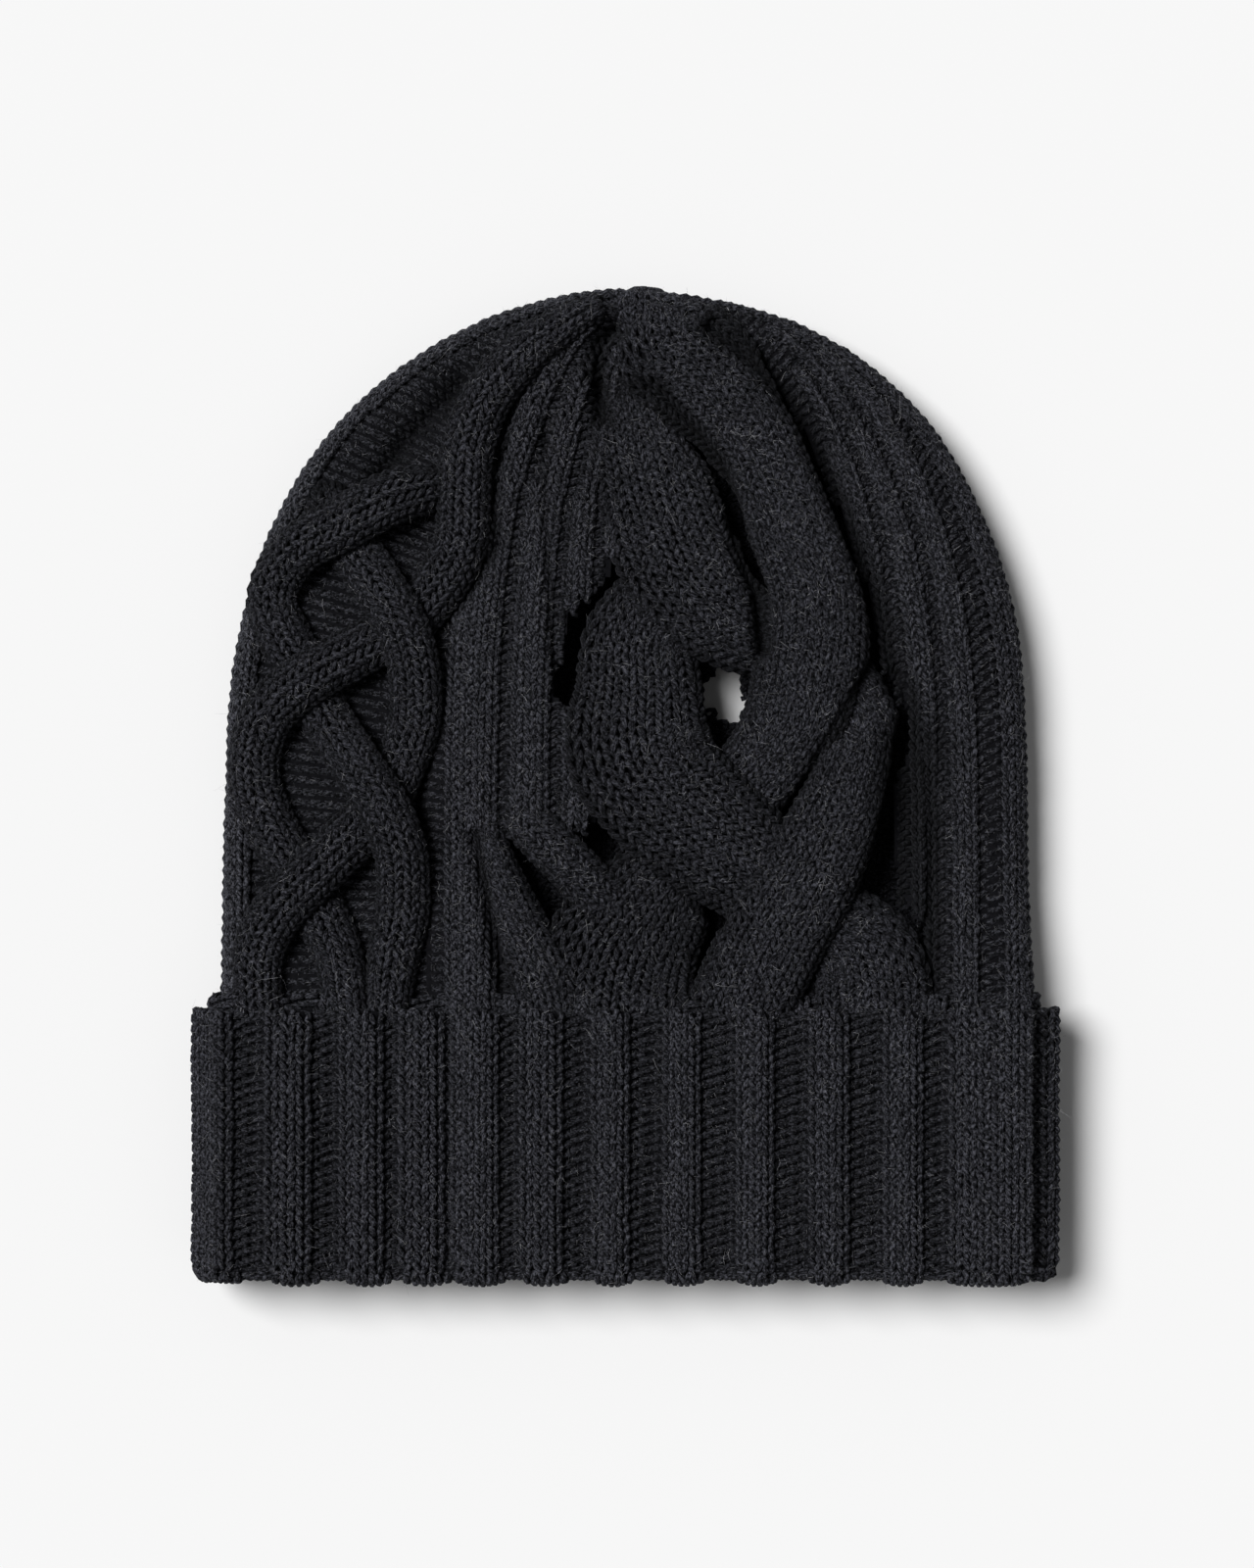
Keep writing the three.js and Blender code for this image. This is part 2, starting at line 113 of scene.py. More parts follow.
def straight_half(y):
    return BODY_HALF_WIDTH - BODY_TAPER * (y - CUFF_TOP_Y)


def crown_share(y):
    return (np.maximum(y, 0) / CROWN_Y) ** CROWN_POWER


def inset(x, y):
    share = (x - centre_x(y)) / straight_half(y)
    return (1 - np.sqrt(share * share + crown_share(y))) * BODY_HALF_WIDTH


def rounded(depth, half):
    inner = np.sqrt(np.maximum(half * half - (half - depth) ** 2, 0))
    return np.where(depth >= half, half, np.where(depth > 0, inner, 0))


def front_top(x, y):
    return middle_z(y) + np.maximum(rounded(inset(x, y), half_height(y)), 1.2)


def inner_rise(x, y):
    """Height of the fabric's inner face from the middle plane."""
    return np.maximum(rounded(inset(x, y) - KNIT, half_height(y) - KNIT), LEAST_RISE)


def ground_top(x, y):
    return np.maximum(front_top(x, y) - GROUND_DROP, middle_z(y) + inner_rise(x, y) + 1)


def edge(pairs):
    levels, places = zip(*pairs)
    return lambda y: np.interp(y, levels, places)


ground_edge = edge([
    (-57, -50.5), (-25, -50.5), (-8, -52), (25, -47.5), (38, -47), (50, -40), (62, -34.5),
    (80, -33), (93, -31), (107, -22), (118, -10), (126, -3.5),
])
rib_edge = edge([
    (-57, -30), (-33, -34), (-16, -38), (-10, -17), (10, -16), (22, -17.5), (48.6, -9.8),
    (60, -8), (75, -8), (95, -6.5), (112, -6), (118, -4), (126, 0),
])
right_edge = edge([
    (-57, 77.5), (-13, 77.5), (5, 77), (20, 73), (32, 67), (47, 64), (60, 60), (75, 54),
    (93, 46), (107, 36), (112, 30), (118, 20), (126, 9),
])

# How far the rib panels run on under the bands; a negative reach leaves a slit.
rib_reach = edge([
    (-57, 1), (-15, 1), (-10, 9), (6, 10), (14, 6), (24, -2.0), (40, -2.6), (48, -1.8), (53, 5), (126, 5),
])
right_reach = edge([(-57, 1), (-36, 1), (-28, 7), (-5, 9), (4, 6), (12, 1), (126, 1)])

# --- surfaces ---


def unit(vectors):
    return vectors / np.maximum(np.linalg.norm(vectors, axis=-1, keepdims=True), 1e-9)


def distances(points):
    """How far along a line each of its points lies."""
    return np.concatenate([[0], np.cumsum(np.linalg.norm(np.diff(points, axis=0), axis=1))])


class Surface:
    """A smooth sheet over a grid of points, read at fractions across (u) and along (v)."""

    def __init__(self, grid, sunk=None):
        self.grid = grid
        self.sunk = np.zeros(grid.shape[:2]) if sunk is None else sunk  # depth below the sheet's crest
        self.normal = unit(np.cross(np.gradient(grid, axis=1), np.gradient(grid, axis=0)))
        steps = np.linalg.norm(np.diff(grid, axis=0), axis=2).sum(axis=0)
        self.length = float(steps.mean())

    def read(self, table, u, v):
        rows, columns = table.shape[:2]
        a = np.clip(u, 0, 1) * (columns - 1)
        b = np.clip(v, 0, 1) * (rows - 1)
        i = np.minimum(a.astype(int), columns - 2)
        j = np.minimum(b.astype(int), rows - 2)
        a = (a - i)[..., None]
        b = (b - j)[..., None]
        low = lerp(table[j, i], table[j, i + 1], a)
        high = lerp(table[j + 1, i], table[j + 1, i + 1], a)
        return lerp(low, high, b)

    def at(self, u, v):
        return self.read(self.grid, u, v), unit(self.read(self.normal, u, v))

    def sunk_at(self, u, v):
        return self.read(self.sunk[..., None], u, v)[..., 0]

    def width(self, v):
        across = self.at(np.linspace(0, 1, 121), np.full(121, v))[0]
        return float(np.linalg.norm(np.diff(across, axis=0), axis=1).sum())


def even(points, count):
    """The same polyline with its points evenly spaced along its length."""
    distance = distances(points)
    wanted = np.linspace(0, distance[-1], count)
    return np.stack([np.interp(wanted, distance, column) for column in points.T], axis=1)


def body_surface(side, skin=SKIN, rows=300, columns=241):
    """The front (side 1) or back (side -1) of the hat above the cuff, as rows of wales to the crown."""
    shrink = 1 - skin / BODY_HALF_WIDTH
    top = CROWN_Y * shrink ** (2 / CROWN_POWER) - 0.02
    share = np.linspace(0, 1, rows)
    levels = lerp(CUFF_TOP_Y - 4, top, np.sin(share * math.pi / 2))
    sweep = np.sin(np.linspace(-math.pi / 2, math.pi / 2, 801))
    grid = np.zeros((rows, columns, 3))
    for j, y in enumerate(levels):
        half = straight_half(y) * math.sqrt(max(shrink * shrink - crown_share(y), 0))
        x = centre_x(y) + half * sweep
        high = rounded(inset(x, y) - skin, half_height(y) - skin)
        line = np.stack([x, np.full_like(x, y), middle_z(y) + side * high], axis=1)
        grid[j] = even(line, columns)
    if side < 0:
        grid = grid[:, ::-1]
    for i in range(columns):
        grid[:, i] = even(grid[:, i], rows)
    return Surface(grid)


def ring_point(a, out):
    """The point of the cuff's ring at a distance a from the front's middle, out from the middle plane."""
    half = 2 * CORNER_X + math.pi * CUFF_MID  # half way round, at the back's middle
    a = (np.asarray(a) + half) % (2 * half) - half
    turn = np.clip((np.abs(a) - CORNER_X) / CUFF_MID, 0, math.pi)
    straight = np.abs(a) - CORNER_X - math.pi * CUFF_MID
    x = np.where(np.abs(a) < CORNER_X, np.abs(a), CORNER_X - np.maximum(straight, 0))
    x = np.sign(a) * (x * (turn <= 0) + (turn > 0) * (np.minimum(x, CORNER_X) + np.sin(turn) * out))
    z = CUFF_HALF + np.cos(turn) * out
    return np.stack([x, np.zeros_like(x), z], axis=-1)


def ring_surface(start, stop, path):
    """Part of the ring from start to stop, over a path of (y, distance out) pairs."""
    path = even(np.array(path, dtype=float), max(len(path), 60))
    columns = max(12, int((stop - start) / GRID))
    a = np.linspace(start, stop, columns)
    grid = np.zeros((len(path), columns, 3))
    for j, (y, out) in enumerate(path):
        grid[j] = ring_point(a, out)
        grid[j, :, 1] = y
    return Surface(grid)


def route(stations):
    """A smooth curve through stations, with even steps in plan."""
    rows = np.array(stations, dtype=float)
    padded = np.vstack([rows[:1], rows, rows[-1:]])
    fine = []
    for i in range(len(rows) - 1):
        a, b, c, d = padded[i : i + 4]
        u = np.linspace(0, 1, 24, endpoint=False)[:, None]
        fine.append(b + 0.5 * u * (c - a + u * (2 * a - 5 * b + 4 * c - d + u * (3 * (b - c) + d - a))))
    fine = np.vstack([*fine, rows[-1:]])
    distance = distances(fine[:, :2])
    wanted = np.linspace(0, distance[-1], int(distance[-1] / GRID) + 2)
    return np.stack([np.interp(wanted, distance, column) for column in fine.T], axis=1)


def flat_profile(width, u, dome=1.3, turn=3.0, bend=1.35):
    """Across a knitted band: flat, a little domed, its edges turned down."""
    turn = np.minimum(turn, width / 4)
    flat = width - 2 * turn
    total = flat + 2 * turn * bend
    s = (u - 0.5) * total
    beyond = np.maximum(np.abs(s) - flat / 2, 0) / turn
    a = np.sign(s) * (np.minimum(np.abs(s), flat / 2) + turn * np.sin(beyond))
    drop = turn * (1 - np.cos(beyond))
    return a, dome * (1 - (2 * a / width) ** 2) - drop


def rope_profile(width, u, high=3.0, bend=1.45):
    """Across a plait strand: the upper half of an oval."""
    angle = (u - 0.5) * 2 * bend
    return width / 2 * np.sin(angle) / math.sin(bend), high * (np.cos(angle) - 1) + high * 0.35


def smoothed(table, times):
    """Evens out the table along its first axis, in place, but for its ends."""
    for _ in range(times):
        table[1:-1] = (table[:-2] + table[1:-1] + table[2:]) / 3


def rope_surface(stations, rest, profile, columns=33):
    """A band or strand along its stations, last station first so that its rows climb to the crown."""
    line = route(stations)[::-1]
    x, y, width, lift = line.T
    along = np.gradient(line[:, :2], axis=0)
    smoothed(along, 6)
    along = unit(along)
    u = np.linspace(0, 1, columns)[None, :]
    a, rise = profile(width[:, None], u)
    px = x[:, None] + along[:, 1:2] * a
    py = y[:, None] - along[:, 0:1] * a
    base = rest(px, py)
    smoothed(base, 10)
    sunk = rise.max(axis=1, keepdims=True) - rise + np.maximum(-lift[:, None], 0)
    return Surface(np.stack([px, py, base + lift[:, None] + rise], axis=2), sunk)


# --- meshes ---


class Yarn:
    """Tubes of yarn, collected for one mesh."""

    def __init__(self, sides=SIDES):
        self.sides = sides
        self.tubes = []

    def add(self, points, normals, radius, shade=1.0):
        count = len(points)
        radius, shade = np.broadcast_to(radius, count), np.broadcast_to(shade, count)
        self.tubes.append((points, normals, radius, shade))

    def mesh(self, name):
        around = np.linspace(0, 2 * math.pi, self.sides, endpoint=False)[None, :, None]
        ring = np.arange(self.sides)
        turned = (ring + 1) % self.sides
        points, quads, caps, along = [], [], [], []
        base = 0
        for path, normals, radius, _ in self.tubes:
            ahead = unit(np.gradient(path, axis=0))
            side = unit(np.cross(normals, ahead))
            up = np.cross(ahead, side)
            reach = np.cos(around) * side[:, None] + np.sin(around) * up[:, None]
            points.append((path[:, None] + reach * radius[:, None, None]).reshape(-1, 3))
            count = len(path)
            first = base + np.arange(count - 1)[:, None] * self.sides
            quads.append(np.stack([
                first + ring, first + turned, first + self.sides + turned, first + self.sides + ring,
            ], axis=2).reshape(-1, 4))
            caps.append(base + ring[::-1])
            caps.append(base + (count - 1) * self.sides + ring)
            along.append(distances(path))
            base += count * self.sides
        return self._write(name, np.vstack(points), np.vstack(quads), np.array(caps), along)

    def _write(self, name, points, quads, caps, along):
        mesh = bpy.data.meshes.new(name)
        mesh.vertices.add(len(points))
        mesh.vertices.foreach_set("co", (points * MM).astype(np.float32).ravel())
        corners = np.concatenate([quads.ravel(), caps.ravel()])
        mesh.loops.add(len(corners))
        mesh.loops.foreach_set("vertex_index", corners.astype(np.int32))
        totals = np.concatenate([np.full(len(quads), 4), np.full(len(caps), self.sides)])
        starts = np.concatenate([[0], np.cumsum(totals)[:-1]])
        mesh.polygons.add(len(totals))
        mesh.polygons.foreach_set("loop_start", starts.astype(np.int32))
        mesh.polygons.foreach_set("loop_total", totals.astype(np.int32))
        mesh.polygons.foreach_set("use_smooth", np.ones(len(totals), bool))
        mesh.update(calc_edges=True)
        self._unwrap(mesh, quads, caps, along)
        return mesh

    def _unwrap(self, mesh, quads, caps, along):
        # One cell for each face: the segments run along shelves, the sides of the tube stack up.
        sides = self.sides
        segment = np.repeat(np.arange(len(quads) // sides), sides)
        side = np.tile(np.arange(sides), len(quads) // sides)
        cells = len(quads) // sides + math.ceil(len(caps) / sides)
        wide = math.ceil(math.sqrt(cells * sides))
        tall = math.ceil(cells / wide) * sides
        corner = np.array([[0, 0], [0, 1], [1, 1], [1, 0]])
        cell = np.stack([segment % wide, (segment // wide) * sides + side], axis=1)
        bake = (cell[:, None] + corner) / [wide, tall]
        spare = len(quads) // sides + np.arange(len(caps)) // sides
        spot = np.stack([spare % wide, (spare // wide) * sides + np.arange(len(caps)) % sides], axis=1)
        angle = np.linspace(0, 2 * math.pi, sides, endpoint=False)
        disc = 0.5 + 0.4 * np.stack([np.cos(angle), np.sin(angle)], axis=1)
        ends = (spot[:, None] + disc) / [wide, tall]
        self._layer(mesh, "OFBake", bake, ends)
        turn = np.stack([side, side + 1, side + 1, side], axis=1) / sides
        self._layer(mesh, "Length", np.stack([self._corners(along), turn], axis=2), np.zeros(ends.size))
        # The Shade layer carries the painted shade: a factor that darkens the yarn's colour where it lies
        # deep.
        shade = self._corners([tube[3] for tube in self.tubes])
        self._layer(mesh, "Shade", np.stack([shade, shade], axis=2), np.full(ends.size, END_SHADE))

    def _corners(self, lines):
        """Values at the points along each tube, as values at the corners of its faces."""
        low = np.repeat(np.concatenate([line[:-1] for line in lines]), self.sides)
        high = np.repeat(np.concatenate([line[1:] for line in lines]), self.sides)
        return np.stack([low, low, high, high], axis=1)

    @staticmethod
    def _layer(mesh, name, quads, caps):
        layer = mesh.uv_layers.new(name=name)
        layer.uv.foreach_set("vector", np.concatenate([quads.ravel(), caps.ravel()]).astype(np.float32))


def new_object(name, data):
    made = bpy.data.objects.new(name, data)
    bpy.context.scene.collection.objects.link(made)
    return made


def add_object(name, mesh, material, body, slot, *nodes):
    piece = new_object(name, mesh)
    mesh.materials.append(material)
    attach(piece, body)
    if nodes:
        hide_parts(*nodes)


LINING_END = -0.3  # a lining's depth at the surface's ends


def shell_mesh(name, surface, keep, lift, thick=0.4, step=1.6, columns_of=None, creased=False):
    """A thin closed lining over the cells that keep() accepts. columns_of makes it follow the ribs."""
    rows, columns = surface.grid.shape[:2]
    across = float(np.linalg.norm(np.diff(surface.grid, axis=1), axis=2).sum(axis=1).max())
    nu = max(3, min(columns, int(across / step)))
    nv = max(3, min(rows, int(surface.length / step)))
    u, v = np.meshgrid(np.linspace(0.004, 0.996, nu), np.linspace(0, 1, nv))
    place, normal = surface.at(u, v)
    lift = np.full(u.shape + (1,), float(lift))
    if columns_of is not None:
        centres, _, _, depths = columns_of.row(0)
        depths = np.concatenate([[LINING_END], depths, [LINING_END]])
        relief = np.interp(u, np.concatenate([[0], centres, [1]]), depths)
        relief[0] = 0
        lift = lift + relief[..., None]
    if creased:
        lift = lift - crease_depth(place)[..., None]
    centre = (place[:-1, :-1] + place[1:, 1:]) / 2
    used = np.pad(keep(centre), 1)
    top = (place + normal * (lift + thick / 2)).reshape(-1, 3)
    low = (place + normal * (lift - thick / 2)).reshape(-1, 3)
    faces = []
    shift = nu * nv
    for j in range(nv - 1):
        for i in range(nu - 1):
            if not used[j + 1, i + 1]:
                continue
            a, b, c, d = j * nu + i, j * nu + i + 1, (j + 1) * nu + i + 1, (j + 1) * nu + i
            faces.append((a, b, c, d))
            faces.append((d + shift, c + shift, b + shift, a + shift))
            for gap, p, q in ((used[j, i + 1], a, b), (used[j + 1, i + 2], b, c),
                              (used[j + 2, i + 1], c, d), (used[j + 1, i], d, a)):
                if not gap:
                    faces.append((q, p, p + shift, q + shift))
    faces = np.array(faces)
    used_ids = np.unique(faces)
    fresh = np.full(2 * shift, -1)
    fresh[used_ids] = np.arange(len(used_ids))
    points = np.vstack([top, low])[used_ids] * MM
    mesh = bpy.data.meshes.new(name + "_lining")
    mesh.from_pydata(points.tolist(), [], fresh[faces].tolist())
    mesh.update()
    return mesh


# --- knitting ---

WAVE = rng.uniform(0, 2 * math.pi, (6, 2))
WAVE_SIZE = 23.0
DECREASE_ROWS = 7  # a decrease spreads its wales out again over these rows


def unevenness(place):
    """A slow, smooth wander of the fabric, mostly from -1 to 1."""
    total = 0
    for k, phase in enumerate(WAVE[:, 0]):
        turn = k * 1.1 + 0.4
        across = place[..., 0] * math.cos(turn) + place[..., 1] * math.sin(turn)
        total = total + np.sin(across / WAVE_SIZE * (1 + 0.5 * k) + phase)
    return total / 3.5


class Columns:
    """Where the wales of each row lie, as fractions across, with their kind and depth."""

    def __init__(self, widths, kinds, lifts):
        widths = np.array(widths, dtype=float)
        edges = np.concatenate([[0], np.cumsum(widths)]) / widths.sum()
        self.centres = (edges[:-1] + edges[1:]) / 2
        self.widths = np.diff(edges)
        self.kinds = np.array(kinds, dtype=float)
        self.lifts = np.array(lifts, dtype=float)

    def row(self, _r):
        return self.centres, self.widths, self.kinds, self.lifts


class CrownColumns:
    """Even wales that are worked together towards the crown, three from every four at each step."""

    def __init__(self, surface, rows, kinds, lifts, least=2.45):
        count = len(kinds)
        self.stages = []
        centres = (np.arange(count) + 0.5) / count
        kinds, lifts = np.array(kinds, dtype=float), np.array(lifts, dtype=float)
        aims = centres
        start = 0
        for r in range(rows):
            width = surface.width((r + 0.5) / rows)
            if width / len(kinds) < least and len(kinds) >= 12 and r < rows - 3:
                self.stages.append((start, r, centres, aims, kinds, lifts))
                here = self._places(start, r, centres, aims)
                spare = len(kinds) % 4
                groups = len(kinds) // 4
                picked = []
                for g in range(groups):
                    picked += [here[4 * g], here[4 * g + 1], (here[4 * g + 2] + here[4 * g + 3]) / 2]
                picked += list(here[4 * groups : 4 * groups + spare])
                index = [4 * g + k for g in range(groups) for k in range(3)]
                index += [4 * groups + k for k in range(spare)]
                kinds, lifts = kinds[index], lifts[index]
                centres = np.array(picked)
                aims = (np.arange(len(centres)) + 0.5) / len(centres)
                start = r
        self.stages.append((start, math.inf, centres, aims, kinds, lifts))

    @staticmethod
    def _places(start, r, centres, aims):
        return lerp(centres, aims, smooth((r - start) / DECREASE_ROWS))

    def row(self, r):
        start, _, centres, aims, kinds, lifts = next(stage for stage in self.stages if r < stage[1])
        places = self._places(start, r, centres, aims)
        edges = np.concatenate([[0], (places[:-1] + places[1:]) / 2, [1]])
        return (edges[:-1] + edges[1:]) / 2, np.diff(edges), kinds, lifts


def pad(values):
    return np.concatenate([values[:1], values, values[-1:]])


def knit(yarn, surface, rows, columns, keep, first=0, last=None, radius=YARN, wander=0.35, creased=False,
         both_sides=False):
    """Adds rows of loops to the yarn. keep(points) picks the stitches by their middles."""
    t = np.linspace(-math.pi, math.pi, STEPS + 1)
    tall = LOOP_TALL / rows
    away = np.clip(np.abs(t) / math.pi, 0, 1)
    late = smooth((np.abs(t) - math.pi / 2) / (math.pi / 2))
    right = (t > 0)[None, :]
    for r in range(first, rows if last is None else last):
        centres, widths, kinds, lifts = columns.row(r)
        v = (r + 0.5) / rows
        place, _ = surface.at(centres, np.full(len(centres), v))
        kept = keep(place)
        if not kept.any():
            continue
        kind_near = np.where(right, pad(kinds)[2:, None], pad(kinds)[:-2, None])
        lift_near = np.where(right, pad(lifts)[2:, None], pad(lifts)[:-2, None])
        kind = kinds[:, None] + (kind_near - kinds[:, None]) / 2 * late
        lift = lifts[:, None] + (lift_near - lifts[:, None]) / 2 * smooth(away)
        slack = rng.normal(0, 1, (len(centres), 4))
        size = 1 + SIZE_SLACK * slack[:, :1] * (1 - away)
        bulge = LOOP_BULGE * np.sin(2 * t) * (1 + BULGE_SLACK * slack[:, 3:4])
        across = (t + bulge) / (2 * math.pi) + PLACE_SLACK * slack[:, 1:2] * (1 - away)
        u = centres[:, None] + widths[:, None] * across
        low, high = run_tilts(kinds)
        tilt = lerp(low[:, None], high[:, None], (t + math.pi) / (2 * math.pi)) / rows
        reach = tall * lerp(PURL_TALL, 1, (kind + 1) / 2) * np.cos(t) * size
        vv = v + reach + tilt + PLACE_SLACK / rows * slack[:, 2:3] * (1 - away)
        own = -kind * LOOP_DEEP * np.cos(2 * t)
        z = lift + own + DEPTH_SLACK * slack[:, 3:4] * (1 - away)
        plump = lerp(PINCHED, SPREAD, 0.5 - 0.5 * kind * np.cos(2 * t)) * (1 + 0.05 * slack[:, :1])
        path, normal = surface.at(u, vv)
        pulled = crease_depth(path) if creased else 0
        # Painted shade: yarn that lies deep, in valleys, creases and turned edges, gets a darker colour, as
        # little light reaches it there.
        depth = surface.sunk_at(u, vv) + pulled - z + LOOP_DEEP + 0.45 * np.minimum(lift, 0)
        depth = np.maximum(depth, 0)
        # Seen from both sides: the painted shade of the loops' back halves is measured from behind.
        if both_sides:
            behind = 0.55 * np.maximum(z - lifts.min() + LOOP_DEEP, 0)
            depth = np.where(own < 0, behind, depth)
        shade = DARKEST + (1 - DARKEST) * np.exp(-depth / SHADE_DEPTH)
        path = path + normal * (z + wander * unevenness(path) - pulled)[..., None]
        edges = np.flatnonzero(np.diff(np.concatenate([[0], kept.astype(int), [0]])))
        for a, b in zip(edges[::2], edges[1::2]):
            points, facing, full, dim = (
                np.concatenate([np.concatenate(table[a:b, :-1]), table[b - 1, -1:]])
                for table in (path, normal, plump, shade)
            )
            yarn.add(points, facing, radius * full, dim)


# Where the fabric folds inwards: a line of points, the groove's half width and its depth.
CREASES = [
    ([(3, 122), (-6.2, 112), (-6.8, 103), (-5.5, 93)], 2.4, 5.5),
    ([(5, 101), (9, 99), (14.6, 92.4), (23.3, 82.4), (27, 72.4), (29, 61), (34, 49), (35.5, 34)], 2.4, 5.0),
    ([(22, 116), (35, 106.6), (45, 93.4), (53, 75), (59.6, 60), (64, 47), (67, 32), (73, 20), (77, 5),
      (78, -12), (78, -55)], 2.8, 4.6),
    ([(73, 9), (71, -12), (70, -30)], 7.0, 5.5),
    ([(61, 28.5), (54.5, 16.5), (49, 7.3), (46.4, 2), (37.2, -13.9)], 1.5, 1.7),
    ([(-9, 119), (-25, 107), (-30, 95), (-33, 78), (-33, 60), (-39.4, 50), (-50, 38), (-52, 20),
      (-52.5, -10), (-52.5, -28)], 2.1, 3.2),
    ([(-20.5, 92), (-20, 60), (-18, 30)], 1.2, 1.4),
    ([(-42, 101), (-55, 88), (-64, 75)], 3.6, 3.6),
    ([(-37.6, -13), (-34.4, -32.6), (-30.6, -57)], 1.8, 2.8),
    ([(-6, -12), (0.4, -15.5), (8, -18.5), (16, -26.5), (24, -35)], 2.2, 3.0),
]


def crease_depth(place):
    """How far the creases pull the fabric in at these points."""
    deepest = np.zeros(place.shape[:-1])
    for line, half_width, depth in CREASES:
        for (ax, ay), (bx, by) in zip(line[:-1], line[1:]):
            dx, dy = bx - ax, by - ay
            share = ((place[..., 0] - ax) * dx + (place[..., 1] - ay) * dy) / (dx * dx + dy * dy)
            share = np.clip(share, 0, 1)
            away2 = (place[..., 0] - ax - share * dx) ** 2 + (place[..., 1] - ay - share * dy) ** 2
            deepest = np.maximum(deepest, depth * np.exp(-away2 / half_width**2))
    return deepest


def run_tilts(kinds, slope=1.1):
    """How far, in rows, each end of a stitch is raised: courses climb in a valley and fall on a rib."""
    low, high = np.zeros(len(kinds)), np.zeros(len(kinds))
    breaks = np.flatnonzero(np.diff(kinds)) + 1
    for start, stop in zip([0, *breaks], [*breaks, len(kinds)]):
        ends = np.linspace(-slope / 2, slope / 2, stop - start + 1) * (-1 if kinds[start] > 0 else 1)
        low[start:stop], high[start:stop] = ends[:-1], ends[1:]
    return low, high


def everywhere(place):
    return np.ones(place.shape[:-1], bool)


def rib_kinds(pattern):
    """The kinds of the wales in a pattern such as 'KKKPP': 1 is knit and -1 is purl."""
    return [1 if mark == "K" else -1 for mark in pattern]


def rib_lifts(kinds, proud, sunk):
    """A knit rib is domed, a purl valley lies low."""
    lifts = []
    n = len(kinds)
    for i, kind in enumerate(kinds):
        if kind < 0:
            lifts.append(sunk)
            continue
        near = min([abs(i - j) for j in range(n) if kinds[j] < 0] + [9])
        lifts.append(proud - (0.45 if near == 1 else 0))
    return lifts


# --- materials ---


def node(tree, kind, **values):
    made = tree.nodes.new(kind)
    for key, value in values.items():
        if hasattr(made, key):
            setattr(made, key, value)
        else:
            made.inputs[key.replace("_", " ")].default_value = value
    return made


def maths(tree, operation, *values):
    """The output of a math node. Its inputs are sockets or plain numbers."""
    made = node(tree, "ShaderNodeMath", operation=operation)
    for socket, value in zip(made.inputs, values):
        if isinstance(value, (int, float)):
            socket.default_value = value
        else:
            tree.links.new(value, socket)
    return made.outputs[0]


def separate(tree, layer):
    """The two coordinates of a UV layer."""
    source = node(tree, "ShaderNodeUVMap", uv_map=layer)
    split = node(tree, "ShaderNodeSeparateXYZ")
    tree.links.new(source.outputs["UV"], split.inputs[0])
    return split.outputs["X"], split.outputs["Y"]


def noise_in_space(tree, **values):
    place = node(tree, "ShaderNodeTexCoord")
    noise = node(tree, "ShaderNodeTexNoise", **values)
    tree.links.new(place.outputs["Object"], noise.inputs["Vector"])
    return noise.outputs["Fac"]


def colour_ramp(tree, factor, *stops):
    ramp = node(tree, "ShaderNodeValToRGB")
    for element, (position, colour) in zip(ramp.color_ramp.elements, stops):
        element.position = position
        element.color = (*colour, 1)
    tree.links.new(factor, ramp.inputs["Fac"])
    return ramp.outputs["Color"]


def new_material(name, **values):
    """A material, its node tree and its shader, with these values on the shader's inputs."""
    material = bpy.data.materials.new(name)
    material.use_nodes = True
    shader = material.node_tree.nodes["Principled BSDF"]
    for key, value in values.items():
        shader.inputs[key.replace("_", " ")].default_value = value
    return material, material.node_tree, shader


PLY_TURN = 4.2  # length of yarn in which its plies go once round


def wool(name, dark, light):
    """Spun wool: two plies wound round each other, with fibres along them, its colour darkened by the
    painted shade in the Shade layer.
    """
    material, tree, shader = new_material(
        name, Roughness=0.92, Specular_IOR_Level=0.12, Sheen_Weight=0.03, Sheen_Roughness=0.45,
        Sheen_Tint=(0.62, 0.66, 0.74, 1),
    )
    length, round_yarn = separate(tree, "Length")
    run = maths(tree, "MULTIPLY", length, 2 * math.pi / PLY_TURN)
    ply = maths(tree, "SINE", maths(tree, "MULTIPLY_ADD", round_yarn, 4 * math.pi, run))
    # Fibres: streaks that wind along the yarn, and clumps in space.
    streak_place = node(tree, "ShaderNodeCombineXYZ")
    tree.links.new(maths(tree, "MULTIPLY", length, 0.75), streak_place.inputs["X"])
    tree.links.new(maths(tree, "MULTIPLY_ADD", round_yarn, 14.0, length), streak_place.inputs["Y"])
    fibres = node(tree, "ShaderNodeTexNoise", Scale=1.0, Detail=3.0, Roughness=0.7)
    tree.links.new(streak_place.outputs[0], fibres.inputs["Vector"])
    clumps = noise_in_space(tree, Scale=1500.0, Detail=3.0, Roughness=0.7)
    both = maths(tree, "ADD", fibres.outputs["Fac"], clumps)
    colour = colour_ramp(tree, maths(tree, "MULTIPLY", both, 0.5), (0.47, dark), (0.63, light))
    # Painted shade: the colour is scaled down by the Shade layer's value, darker where the yarn lies deep.
    dimmed = node(tree, "ShaderNodeVectorMath", operation="SCALE")
    tree.links.new(colour, dimmed.inputs[0])
    tree.links.new(separate(tree, "Shade")[0], dimmed.inputs["Scale"])
    tree.links.new(dimmed.outputs["Vector"], shader.inputs["Base Color"])
    bump = node(tree, "ShaderNodeBump", Strength=0.8, Distance=0.0006)
    tree.links.new(maths(tree, "MULTIPLY_ADD", ply, 0.35, fibres.outputs["Fac"]), bump.inputs["Height"])
    tree.links.new(bump.outputs["Normal"], shader.inputs["Normal"])
    return material


